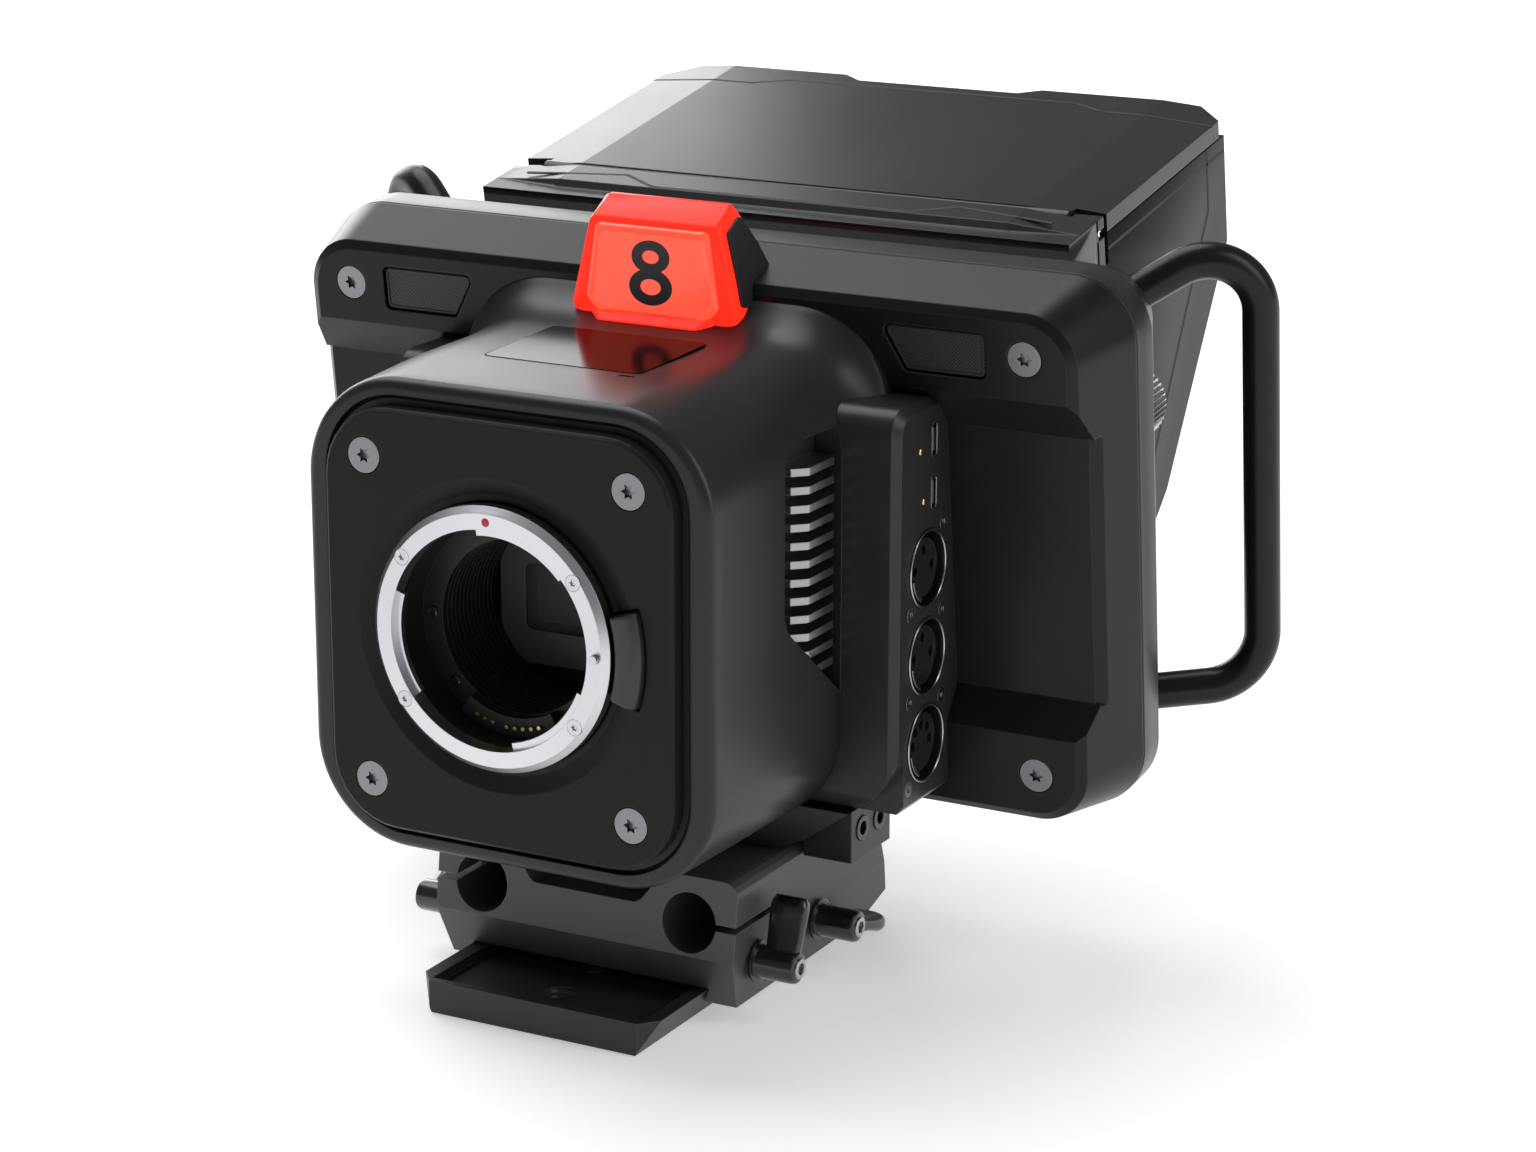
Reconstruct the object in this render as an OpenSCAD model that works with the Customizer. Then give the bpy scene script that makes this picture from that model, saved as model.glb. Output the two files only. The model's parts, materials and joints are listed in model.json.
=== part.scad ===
// Studio camera: a bayonet lens body on a rod and tripod base, with a rear monitor
// housing, a tally lamp, two tube handles and a folding sun hood.
// Millimetres. +Z is up, the lens faces -Y, and +X is on the right when looking into the lens.
// The origin is the middle of the tripod thread, in the underside of the sliding tripod plate.

/* [Overall] */
// Height of the lens axis above the underside of the tripod plate
axis_height = 105; // [103:0.5:112]
// Distance from the lens ring's front plane back to the tripod thread
thread_setback = 31; // [27:0.5:36]
// Distance from the lens ring's front plane back to the rear housing's front face
housing_setback = 95.3; // [92:0.1:100]
// Backward lean of the rear housing, in degrees
housing_pitch = 6.6; // [5:0.1:8]
// Extra rise of the hood's top over the lean of the housing, in degrees
hood_rise = 3.5; // [2.5:0.1:4.5]

/* [Lens mount] */
// Outer diameter of the bayonet ring
ring_d = 65; // [63:0.5:67]
// Diameter of the throat inside the bayonet ring
throat_d = 54; // [52:0.5:55]
// Thickness of the bayonet ring
ring_t = 4.4; // [4:0.1:5]
// Distance from the ring's front plane to the image sensor
flange_focal = 44; // [43:0.1:46]
// Inner diameter of the ribbed tube behind the throat
baffle_d = 43; // [40:0.5:45]
// Travel of the lens release button
release_travel = 2.2; // [1.5:0.1:2.4]

/* [Front body] */
// Width of the body at its front rim
body_w = 111.4; // [108:0.2:116]
// Height of the body at its front rim
body_h = 117.3; // [114:0.2:122]
// Corner radius of the body's front rim
body_corner_r = 26; // [24:0.5:30]
// Distance from the ring's front plane back to the body's front rim
rim_setback = 8; // [7:0.5:9]
// Distance from the ring's front plane back to the front plate's face
plate_setback = 3.9; // [3:0.1:4.5]
// Width of the dark groove between the front plate and the rim
groove_w = 2.4; // [1.5:0.1:3]
// Wall thickness of the body shell
shell_wall = 3; // [2:0.1:3.5]
// Growth of the body at its sides where it meets the rear housing
side_flare = 5.5; // [3:0.5:7]
// Growth of the body at its top where it meets the rear housing
top_flare = 10.3; // [8:0.1:12]

/* [Heat sinks] */
// Number of cooling fins on each side
fin_count = 12; // [8:1:14]
// Distance from one fin to the next
fin_pitch = 4.55; // [4:0.05:4.8]
// Thickness of a fin
fin_t = 1.9; // [1.2:0.1:2.4]

/* [Connector pods] */
// Half the width of the camera over its two connector pods
pod_half_w = 72; // [70:0.5:76]
// Outer diameter of a microphone socket's barrel
xlr_d = 20; // [19:0.1:21]
// Distance from one microphone socket to the next
xlr_pitch = 22.4; // [22:0.1:23.5]
// Push travel of a socket's latch
latch_travel = 1.6; // [1:0.1:2]

/* [Rear housing] */
// Half the width of the housing's front face
housing_half_w = 109; // [106:0.5:112]
// Half the width of the housing at the seam between its two shells
seam_half_w = 116; // [114:0.5:120]
// Half the width of the housing's rear face
rear_half_w = 104; // [102:0.5:106]
// Depth of the front cover, from its face to the seam
cover_depth = 22; // [20:0.5:25]
// Depth of the whole rear housing
housing_depth = 60; // [57:0.5:64]
// Depth of the recess across the front cover
recess_depth = 7.1; // [5:0.1:8]
// Wall thickness of the rear housing
housing_wall = 2.5; // [2:0.1:3]

/* [Monitor] */
// Width of the monitor's cover glass
glass_w = 160; // [150:1:164]
// Height of the monitor's cover glass
glass_h = 98; // [90:1:102]
// Diameter of the thumb dial
dial_d = 20; // [18:0.5:22]
// Diameter of a rear push button
button_d = 8.6; // [7:0.1:9]
// Push travel of a rear button
button_travel = 1.2; // [0.8:0.1:1.4]

/* [Handles] */
// Diameter of the handle tube
tube_d = 9.4; // [8:0.1:10]
// Distance from the housing's side to the middle of a handle's outer run
handle_clear = 12; // [10:0.5:18]
// Bend radius of the handle tube's middle line
bend_r = 14.5; // [12:0.5:16]

/* [Hood] */
// Width of the sun hood
hood_w = 172; // [170:1:175]
// Length of the hood's top from the hood frame to its rear edge
hood_len = 97.8; // [88:0.2:104]
// Length of the hood's side panels
hood_side_len = 83; // [70:0.5:84]
// Thickness of the hood's panels
hood_t = 2.2; // [2:0.1:2.8]

/* [Base and tripod plate] */
// Diameter of the two rods that the base clamps
rod_d = 15; // [14:0.5:16]
// Distance between the two rods
rod_spacing = 60; // [58:0.5:62]
// Depth of the rods below the lens axis
rod_drop = 79; // [78:0.5:80]
// Length of the base
base_len = 83; // [78:1:90]
// Length of the sliding tripod plate
plate_len = 118; // [110:1:124]
// Width of the tripod plate over its dovetail
plate_top_w = 68; // [66:0.5:70]
// Diameter of the tripod thread's bore
tripod_bore_d = 8; // [7.5:0.1:9.5]

/* [Hidden] */
$fn = 64;

// Overrun of every cut past the face that it opens
ov = 1;
// Half size of a block that stands for all the space past a plane
far = 400;
// Thickness of the thin slices that a hull joins
slice = 0.05;
// Gap round pieces that slide in a pocket
slide_gap = 0.25;
// Gap between pieces that only lie near each other
seat_gap = 0.3;
// Radial gap of a running fit
run_gap = 0.06;
// Points of a rounded corner in a lofted section
corner_steps = 8;

// Front body
body_drop = 0.45;
rim_round = 2.6;
rim_band_side = 5.7;
rim_band_top = 3.9;
rim_steps = 3;
flare_len = 80;
// Share of the flare's length, and share of the growth reached there
flare_shares = [[0, 0], [0.33, 0.14], [0.77, 0.24], [0.86, 0.36], [0.92, 0.54], [0.96, 0.75],
    [1, 1], [1.4, 1]];
front_plate_t = 6.1;
gasket_t = 1.5;
ledge_t = 3;
plate_bevel = 0.8;
plate_w = body_w - 2 * (rim_band_side + groove_w);
plate_h = body_h - 2 * (rim_band_top + groove_w);
opening_w = plate_w + 2 * groove_w;
opening_h = plate_h + 2 * groove_w;
plate_corner_r = body_corner_r - rim_band_side - groove_w;
opening_corner_r = plate_corner_r + groove_w;
plate_back = plate_setback + front_plate_t;
ledge_y = plate_back + gasket_t;
gasket_w = 6;
bulkhead_gap = 2.5;
window_r = ring_d / 2 + bulkhead_gap;
plate_screw_inset_x = 11.4;
plate_screw_inset_z = 12;
plate_screw_x = plate_w / 2 - plate_screw_inset_x;
plate_screw_z = plate_h / 2 - plate_screw_inset_z;
screw_head_d = 8.7;
screw_head_h = 2.4;
screw_shank_d = 4;
screw_len = 9;
star_d = 4;
star_depth = 1.4;

// Lens mount
throat_r = throat_d / 2;
ring_r = ring_d / 2;
ring_bevel = 1.6;
lug_h = 1.8;
lug_front = 1.6;
lug_t = 1.6;
lug_angle = 56;
lug_middle_angles = [70, 190, 310];
ring_screw_shift = 0.45;
ring_screw_r = (ring_r + throat_r) / 2 - ring_screw_shift;
ring_screw_angle = 36.7;
ring_screw_head_d = 3.9;
ring_screw_head_h = 1.1;
ring_screw_shank_d = 2;
ring_screw_len = 6;
dish_w = 6.1;
dish_r = ring_r + dish_w;
dish_depth = 1.5;
dish_floor_w = 1.8;
ring_gap = 0.2;
liner_flange_w = 5.5;
liner_flange_r = ring_r + liner_flange_w;
liner_wall = 1.6;
liner_floor_y = 14;
liner_floor_t = 2.5;
liner_len = 24;
liner_lip_r = 31;
rib_count = 12;
rib_depth = 0.7;
button_inner_gap = 0.6;
button_radial = 7.4;
button_half_angle = 17;
button_side_angle = 1;
button_front_y = 0.8;
button_back_clear = 0.3;
pin_d = 2.2;
pin_front = 1.3;
contact_count = 8;
contact_step_angle = 5.4;
contact_gap_angle = 4;
contact_first_angle = 246;
contact_d = 1;
contact_block_start_angle = 236;
contact_block_angle = 62;
contact_block_t = 3;
contact_out = 0.8;

// Filter, sensor and boards behind the throat
filter_frame_w = 40;
filter_frame_h = 34;
filter_frame_t = 2;
filter_win_w = 29;
filter_win_h = 20;
filter_glass_t = 1.1;
sensor_w = 33;
sensor_h = 22;
sensor_t = 2.4;
sensor_glass_w = 25;
sensor_glass_h = 15;
sensor_glass_t = 0.5;
sensor_board_w = 58;
sensor_board_h = 46;
board_t = 1.6;
board_post_d = 5;
main_board_back = 11;
main_board_y = flange_focal + main_board_back;
fan_size = 60;
fan_depth = 15;
fan_stand = 6;
fan_hub_d = 26;
fan_gap = 0.8;
fan_blades = 7;
fan_blade_t = 1.6;
fan_axle_d = 3;
fan_wall = 1.5;
fan_y = main_board_y + board_t + fan_stand;

// Window in the top of the body
window_front = 34.5;
window_len = 33;
window_w = 43.6;
window_t = 1.4;
window_corner = 3;
window_slope = 1.9;
window_corner_r = 2;
window_proud = 0.1;

// Heat sinks
fin_top = 34.95;
fin_front = 51;
fin_rear = 70;
fin_tip_inset = 1.2;
sink_floor_x = 47.5;
sink_base_t = 2;
vent_front = 42;
vent_top = 43.5;
vent_low = 0;
vent_slope = 39;
vent_corner_r = 9;
tray_wall = 2;

// Connector pods
pod_front = 70.5;
pod_top = 48.4;
pod_bottom = -54.5;
pod_corner_r = 6;
pod_bevel = 2;
pod_wall = 2.5;
pod_inner_x = 42;
xlr_y = 87.3;
xlr_top_z = 6.1;
xlr_wall = 0.8;
xlr_depth = 14;
xlr_insert_d = 15;
xlr_insert_back = 1;
xlr_pin_d = 2.6;
xlr_pin_r = 4.6;
xlr_proud = 0.3;
xlr_floor = 1.5;
latch_start_angle = 190;
latch_angle = 52;
latch_t = 1;
latch_proud = 0.5;
latch_spring_room = 1.9;
latch_len = xlr_depth - xlr_floor - latch_travel - latch_spring_room;
pod_screw_y = 8.8;
pod_screw_z = 9.8;
pod_screw_d = 3.8;
pod_screw_h = 1;
pod_screw_shank_d = 1.8;
usb_y = 90.5;
usb_z = [37.9, 24.7];
usb_w = 3.2;
usb_h = 9;
usb_wall = 0.4;
usb_depth = 7;
usb_tongue_t = 0.7;
bnc_y = 86;
bnc_top_z = 30;
bnc_pitch = 19;
bnc_d = 9.6;
bnc_flange_d = 13.5;
bnc_len = 11;
bnc_bore_d = 7.4;
bnc_lug_d = 2;
hdmi_z = -27;
hdmi_w = 5.6;
hdmi_h = 15;
hdmi_wall = 0.5;
hdmi_tongue_t = 1;
power_z = -43;
power_d = 11;
power_bore_d = 5.6;
power_pin_d = 2.1;
power_depth = 9;
jack_x = 57;
jack_y = 83;
jack_pitch = 9.5;
jack_z = -62.3;
jack_bore_d = 3.6;
jack_d = 6.4;
jack_len = 12;
jack_block_w = 13.4;
jack_block_y0 = 77;
jack_block_h = 15.5;
jack_root_x = 36;
jack_root_h = 11.5;
jack_margin = 6;

// Neck between the body and the housing, flush with the pods' front
neck_side_z = -35.9;
neck_side_r = 19;
neck_side_turn = 55;
neck_bottom_r = 30;
neck_wall = 3;
neck_cavity_half = 38;
neck_depth = 5;
neck_skin = 1.5;

// Rear housing, as sections of its two shells
cover_top = 72;
cover_bottom = -60;
cover_r = 13.5;
cover_bevel = 1.6;
seam_top = 76.3;
seam_bottom = -64;
seam_r = 17;
shoulder = 9.5;
rear_top = 66.3;
rear_bottom = -56;
rear_r = 12;
recess_top = 50.5;
recess_top_step = 10.6;
recess_bottom = -37.3;
recess_bottom_step = 8.3;
cable_win_w = 80;
cable_win_h = 56;
cable_win_r = 6;
housing_screw_inset = 12.75;
housing_screw_x = housing_half_w - housing_screw_inset;
housing_screw_drop = 10.9;
housing_screw_top = cover_top - housing_screw_drop;
housing_screw_rise = 12.2;
housing_screw_bottom = cover_bottom + housing_screw_rise;
housing_boss_d = 11;
housing_screw_len = 14;
grille_outer_x = 85.8;
grille_top_x = 58.4;
grille_bottom_x = 64.6;
grille_top = 66.2;
grille_bottom = 55;
grille_depth = 2;
grille_back = 0.5;
glass_middle = 7;
glass_t = housing_wall;
panel_margin = 3;
panel_t = 5;
dial_x = 101;
dial_z = 34.7;
dial_front = 44.5;
dial_t = 7.5;
dial_pin_d = 4;
dial_slot_gap = 0.8;
knurl_count = 44;
knurl_depth = 0.5;
button_x = 95.5;
button_top_z = 38;
button_pitch = 14;
button_rest = 0.2;
button_proud = button_travel + button_rest;
button_flange_d = 10.6;
button_flange_t = 1;
button_hole_gap = 0.2;

// Handles, in the plane that holds the tube
handle_root_x = 98;
handle_root_v = 51.5;
handle_turn = 35;
handle_root_top = 59.4;
handle_corner_top = 77.9;
handle_bottom = -46.3;
handle_hole_gap = 0.15;

// Tally lamp
tally_front = 78.3;
tally_ridge_y = 87.8;
tally_ridge_z = 92.2;
tally_face_top = 86.9;
tally_face_bottom = 57;
tally_side_z = 63.5;
tally_top_half = 18;
tally_side_half = 23.8;
tally_bottom_half = 15;
tally_rear = 105.5;
tally_rear_z = 71.5;
tally_lip_y = 73;
tally_lip_z = 62.5;
tally_wall = 2.2;
tally_board_w = 26;
tally_board_t = 1.4;
tally_board_h = 13;
tally_foot_z = 72;
tally_foot_rise = 4;
led_count = 4;
led_size = 2.4;

// Hood, in its own frame: origin at the middle of the frame's top edge, Y back, Z up
hood_root_z = 76.3;
frame_len = 8;
frame_wall = 5;
frame_height = 129;
frame_nose = 10;
frame_nose_drop = 3;
hinge_d = 3;
hinge_pin_d = 1.5;
hinge_gap = 0.4;
lug_w = 8;
lug_len = 3.5;
hood_edge_w = 19.5;
hood_edge_drop = 1.6;
hood_skirt = 6.4;
hood_notch_w = 61;
hood_notch_in = 6;
hood_notch_depth = 4;
side_rear_h = 37;
side_bend_y = 35;
side_bend_rise = 31;
side_foot = 7;
side_bottom = frame_height - side_foot;

// Base and tripod plate, in the lens frame
base_front = 44;
base_top = -67.3;
base_side_z = -86.4;
base_lip = 2.8;
base_chin = 2.2;
base_lip_z = -87.4;
base_skirt = 4;
plate_h_total = 8.4;
plate_top_z = plate_h_total - axis_height;
base_bottom = plate_top_z - base_skirt;
base_shoulder_r = 4;
base_notch_r = 3;
base_side_x = 43.1;
base_bottom_x = 41.3;
base_notch_x = 15.3;
base_notch_top_x = 22.4;
base_notch_z = -76.4;
riser_w = 44;
riser_front = 56;
riser_rear = 98;
rear_slope_y = 84;
rear_slope_z = -78.6;
base_heel_h = 5;
base_heel_len = 14;
rear_face_lean = 6;
rod_depth = 46;
rod_gap = 0.05;
rod_slit = 1.6;
plate_bottom_w = 58.6;
plate_floor = 5.8;
plate_rim = 4;
plate_front = 17;
plate_gap = 0.3;
plate_chamfer = 5;
lever_y = 53;
lever_rise = 6.6;
lever_z = plate_top_z + lever_rise;
plate_lever_y = 85.5;
lever_hub_d = 9;
lever_hub_len = 12;
lever_wing_len = 14.3;
lever_wing_w = 10;
lever_wing_t = 5.6;
lever_boss_d = 11;
lever_boss_len = 1;
lever_screw_d = 5;
lever_screw_out = 0.6;
lever_hex_d = 3;
lever_right_angle = -19;
lever_left_angle = -70;
lever_plate_angle = -105;
small_thread_setback = 16.3;
small_bore_d = 5.2;
stop_hole_x = 22.8;
stop_hole_y = 21.5;
stop_hole_d = 2.6;

// Frames

module at_lens() translate([0, -thread_setback, axis_height]) children();

module at_housing() at_lens() translate([0, housing_setback, 0]) rotate([housing_pitch, 0, 0])
    children();

module at_hood() at_housing() translate([0, housing_depth, hood_root_z])
    rotate([hood_rise, 0, 0]) children();

// A flat shape in X and Z, as thick as from y0 to y1
module slab(y0, y1) translate([0, y1, 0]) rotate([90, 0, 0]) linear_extrude(y1 - y0) children();

// A flat shape in Y and Z, as thick as from x0 to x1
module side_slab(x0, x1) translate([x0, 0, 0]) rotate([90, 0, 90]) linear_extrude(x1 - x0)
    children();

// A profile of radius and depth, turned about Y from a start angle in the XZ plane
module turned(start = 0, angle = 360) mirror([0, 1, 0]) rotate([90, 0, 0])
    rotate([0, 0, start]) rotate_extrude(angle = angle) children();

module rod_y(d, y0, y1) translate([0, y0, 0]) rotate([-90, 0, 0]) cylinder(d = d, h = y1 - y0);

module rod_x(d, x0, x1) translate([x0, 0, 0]) rotate([0, 90, 0]) cylinder(d = d, h = x1 - x0);

module block(lo, hi) translate(lo) cube(hi - lo);

module rounded(w, h, r) {
    square([w, h - 2 * r], center = true);
    square([w - 2 * r, h], center = true);
    for (sx = [-1, 1])
        for (sz = [-1, 1])
            translate([sx * (w / 2 - r), sz * (h / 2 - r)]) circle(r);
}

module mirrored() {
    children();
    mirror([1, 0, 0]) children();
}

function unit(v) = v / norm(v);

// A corner between three points, rounded to a radius, and an outline with such corners
function round_corner(a, b, c, r) = let (u = unit(a - b), w = unit(c - b),
    half = acos(u * w) / 2, centre = b + unit(u + w) * r / sin(half),
    first = b + u * r / tan(half) - centre, turn = cross(b - a, c - b) > 0 ? 1 : -1,
    start = atan2(first[1], first[0]), angle = turn * (180 - 2 * half))
    [for (k = [0:corner_steps / 2])
        let (at = start + angle * 2 * k / corner_steps) centre + r * [cos(at), sin(at)]];

function rounded_path(points, radii) = let (n = len(points))
    [for (i = [0:n - 1]) each radii[i] > 0
        ? round_corner(points[(i + n - 1) % n], points[i], points[(i + 1) % n], radii[i])
        : [points[i]]];

// Lofts: rings of points in XZ, joined along Y

function corner_arc(cx, cz, r, a0) = [for (i = [0:corner_steps])
    [cx + r * cos(a0 + 90 * i / corner_steps), cz + r * sin(a0 + 90 * i / corner_steps)]];

function section(half, top, bottom, r) = concat(
    corner_arc(half - r, top - r, r, 0), corner_arc(r - half, top - r, r, 90),
    corner_arc(r - half, bottom + r, r, 180), corner_arc(half - r, bottom + r, r, 270));

module loft(depths, rings) {
    n = len(rings[0]);
    last = len(rings) - 1;
    points = [for (i = [0:last]) for (p = rings[i]) [p[0], depths[i], p[1]]];
    sides = [for (i = [0:last - 1]) for (j = [0:n - 1])
        let (a = i * n + j, b = i * n + (j + 1) % n)
        each [[a, b, b + n], [a, b + n, a + n]]];
    front = [for (j = [n - 1:-1:0]) j];
    back = [for (j = [0:n - 1]) last * n + j];
    polyhedron(points = points, faces = concat([front], sides, [back]), convexity = 4);
}

function flare(y) = lookup((y - rim_setback) / flare_len, flare_shares);

function body_half(y) = body_w / 2 + side_flare * flare(y);

function body_top(y) = body_h / 2 - body_drop + top_flare * flare(y);

function body_bottom() = -body_h / 2 - body_drop;

function body_section(y, inset) = section(body_half(y) - inset, body_top(y) - inset,
    body_bottom() + inset, body_corner_r - inset);

flare_depths = [for (i = [1:len(flare_shares) - 1]) rim_setback + flare_len * flare_shares[i][0]];

// The body's outside, run past the housing's face
module body_solid() {
    rim = [for (i = [0:rim_steps]) 90 * i / rim_steps];
    depths = concat([for (a = rim) rim_setback + rim_round * (1 - cos(a))], flare_depths);
    insets = concat([for (a = rim) rim_round * (1 - sin(a))], [for (y = flare_depths) 0]);
    loft(depths, [for (i = [0:len(depths) - 1]) body_section(depths[i], insets[i])]);
}

module body_cavity() {
    depths = concat([ledge_y + ledge_t], flare_depths);
    loft(depths, [for (y = depths) body_section(y, shell_wall)]);
}

// All the space behind the housing's front face, with its recess, moved back by a distance
module behind_housing(back = 0) translate([0, housing_setback, 0]) rotate([housing_pitch, 0, 0])
    translate([0, back, 0]) side_slab(-far, far)
        polygon([[0, far], [0, recess_top], [recess_depth, recess_top - recess_top_step],
            [recess_depth, recess_bottom + recess_bottom_step], [0, recess_bottom], [0, -far],
            [far, -far], [far, far]]);

// Fasteners

module star_recess(d, depth) slab(-ov, depth) {
    circle(d = d, $fn = 3);
    rotate(180) circle(d = d, $fn = 3);
}

// A flush screw with a star drive, its head's face at Y 0 and its shank running back
module star_screw(head_d, head_h, shank_d, length, drive_d, drive_depth) difference() {
    turned() polygon([[0, 0], [head_d / 2, 0], [head_d / 2, head_h / 2], [shank_d / 2, head_h],
        [shank_d / 2, length], [0, length]]);
    star_recess(drive_d, drive_depth);
}

module at_plate_screws() for (sx = [-1, 1]) for (sz = [-1, 1])
    translate([sx * plate_screw_x, plate_setback, sz * plate_screw_z - body_drop]) children();

module at_ring_screws() for (a = [ring_screw_angle, 180 - ring_screw_angle,
        180 + ring_screw_angle, -ring_screw_angle])
    translate([ring_screw_r * cos(a), 0, ring_screw_r * sin(a)]) children();

module at_housing_screws() for (sx = [-1, 1]) for (z = [housing_screw_top, housing_screw_bottom])
    translate([sx * housing_screw_x, 0, z]) children();

// Front body

// Side opening over the fins: level at the top, falling to the rear at the bottom
module vent_shape(inset) {
    front = vent_front + inset;
    rear = pod_front - inset;
    low = vent_low + inset / cos(vent_slope);
    polygon(rounded_path([[front, vent_top - inset], [rear, vent_top - inset],
        [rear, low - (rear - vent_front) * tan(vent_slope)],
        [front, low - (front - vent_front) * tan(vent_slope)]],
        [vent_corner_r - inset, 0, 0, vent_corner_r - inset]));
}

module window_place() translate([0, window_front, body_top(window_front)])
    rotate([window_slope, 0, 0]) children();

module window_shape(grow) translate([0, window_len / 2])
    rounded(window_w + 2 * grow, window_len + 2 * grow, window_corner_r + grow);

// Right half of the neck's lower outline: a side arc, a slope and a flat bottom
neck_arc = [for (i = [0:corner_steps])
    let (a = -neck_side_turn * i / corner_steps)
    [pod_half_w - neck_side_r + neck_side_r * cos(a), neck_side_z + neck_side_r * sin(a)]];
neck_fall = base_top - (neck_arc[corner_steps][1]);
neck_slope = 90 - neck_side_turn;
neck_flat_x = neck_arc[corner_steps][0] + neck_fall / tan(neck_slope)
    - neck_bottom_r * tan(neck_slope / 2);
neck_bottom_arc = [for (i = [0:corner_steps])
    let (a = neck_slope * (1 - i / corner_steps) - 90)
    [neck_flat_x + neck_bottom_r * cos(a), base_top + neck_bottom_r + neck_bottom_r * sin(a)]];
neck_right = concat([[pod_half_w, 0]], neck_arc, neck_bottom_arc);

module neck_outline() polygon(concat(neck_right,
    [for (i = [len(neck_right) - 1:-1:0]) [-neck_right[i][0], neck_right[i][1]]]));

// The neck below the pods, and the room inside it
module neck() intersection() {
    slab(pod_front, housing_setback + recess_depth + pod_corner_r) neck_outline();
    block([-far, -far, -far], [far, far, pod_bottom]);
}

module neck_room() block([-neck_cavity_half, pod_front + neck_wall, base_top + neck_wall],
    [neck_cavity_half, housing_setback - neck_wall, body_bottom() + body_corner_r]);

// A block under the body and the pod that carries the two headset jacks
module jack_block() {
    rear = jack_y + jack_pitch + jack_margin;
    block([jack_x - jack_block_w, jack_block_y0, pod_bottom - jack_block_h],
        [jack_x, rear, pod_bottom]);
    block([jack_root_x, jack_block_y0, pod_bottom - jack_root_h], [jack_x, rear, pod_bottom]);
}

module body_shell() color("#3a3b3d") at_lens() difference() {
    union() {
        difference() {
            union() {
                body_solid();
                neck();
            }
            body_cavity();
            neck_room();
        }
        intersection() {
            mirrored() side_slab(sink_floor_x - tray_wall, body_w / 2 + side_flare)
                vent_shape(-tray_wall);
            body_solid();
        }
        jack_block();
    }
    behind_housing();
    slab(rim_setback - ov, ledge_y) translate([0, -body_drop])
        rounded(opening_w, opening_h, opening_corner_r);
    rod_y(2 * window_r, ledge_y - ov, ledge_y + ledge_t + ov);
    mirrored() side_slab(sink_floor_x, body_w) vent_shape(0);
    mirrored() side_slab(sink_floor_x, body_w) pod_shape(2 * pod_wall);
    at_plate_screws() rod_y(screw_shank_d + 2 * run_gap, 0, screw_len + ov);
    window_place() translate([0, 0, -window_t]) linear_extrude(window_t + window_len)
        window_shape(slide_gap);
    for (i = [0, 1])
        translate([0, jack_y + i * jack_pitch, jack_z])
            rod_x(jack_d + 2 * run_gap, jack_x - jack_len, jack_x + ov);
}

module front_plate() color("#2b2c2e") at_lens() difference() {
    loft([plate_setback, plate_setback + plate_bevel, plate_back],
        [for (inset = [plate_bevel, 0, 0]) section(plate_w / 2 - inset,
            plate_h / 2 - body_drop - inset, inset - plate_h / 2 - body_drop,
            plate_corner_r - inset)]);
    turned() polygon([[0, plate_setback - ov], [dish_r, plate_setback - ov],
        [dish_r, plate_setback], [ring_r + dish_floor_w, plate_setback + dish_depth],
        [ring_r + ring_gap, plate_setback + dish_depth], [ring_r + ring_gap, plate_back + ov],
        [0, plate_back + ov]]);
    turned(-button_half_angle - button_side_angle, 2 * (button_half_angle + button_side_angle))
        translate([ring_r, plate_setback - ov])
            square([button_inner_gap + button_radial + slide_gap, front_plate_t + 2 * ov]);
    at_plate_screws() {
        rod_y(screw_head_d + 2 * slide_gap, -ov, screw_head_h + slide_gap);
        rod_y(screw_shank_d + 2 * run_gap, 0, front_plate_t + ov);
    }
}

module plate_gasket() color("#101011") at_lens() slab(plate_back, ledge_y)
    translate([0, -body_drop]) difference() {
        rounded(opening_w - 2 * slide_gap, opening_h - 2 * slide_gap,
            opening_corner_r - slide_gap);
        rounded(opening_w - 2 * gasket_w, opening_h - 2 * gasket_w, opening_corner_r - gasket_w);
    }

module front_plate_screws() color("#8d8f92") at_lens() at_plate_screws()
    star_screw(screw_head_d, screw_head_h, screw_shank_d, screw_len, star_d, star_depth);

// Lens mount

module lens_ring() color("#c9cbce") at_lens() difference() {
    union() {
        turned() polygon([[throat_r, 0], [ring_r - ring_bevel, 0], [ring_r, ring_bevel],
            [ring_r, ring_t], [throat_r, ring_t]]);
        for (a = lug_middle_angles)
            turned(a - lug_angle / 2, lug_angle) translate([throat_r - lug_h, lug_front])
                square([lug_h + ring_bevel, lug_t]);
    }
    at_ring_screws() {
        rod_y(ring_screw_head_d + 2 * run_gap, -ov, ring_screw_head_h);
        rod_y(ring_screw_shank_d + 2 * run_gap, 0, ring_t + ov);
    }
    translate([ring_screw_r, 0, 0]) rod_y(pin_d + 2 * run_gap, -ov, ring_t + ov);
}

module lens_ring_screws() color("#b9bbbe") at_lens() at_ring_screws()
    star_screw(ring_screw_head_d, ring_screw_head_h, ring_screw_shank_d, ring_screw_len,
        ring_screw_head_d / 2, ring_screw_head_h / 2);

liner_outer_r = ring_r - ring_gap;
baffle_r = baffle_d / 2;
liner_end = liner_floor_y + liner_len;
rib_pitch = (liner_len - liner_floor_t) / rib_count;

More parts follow.
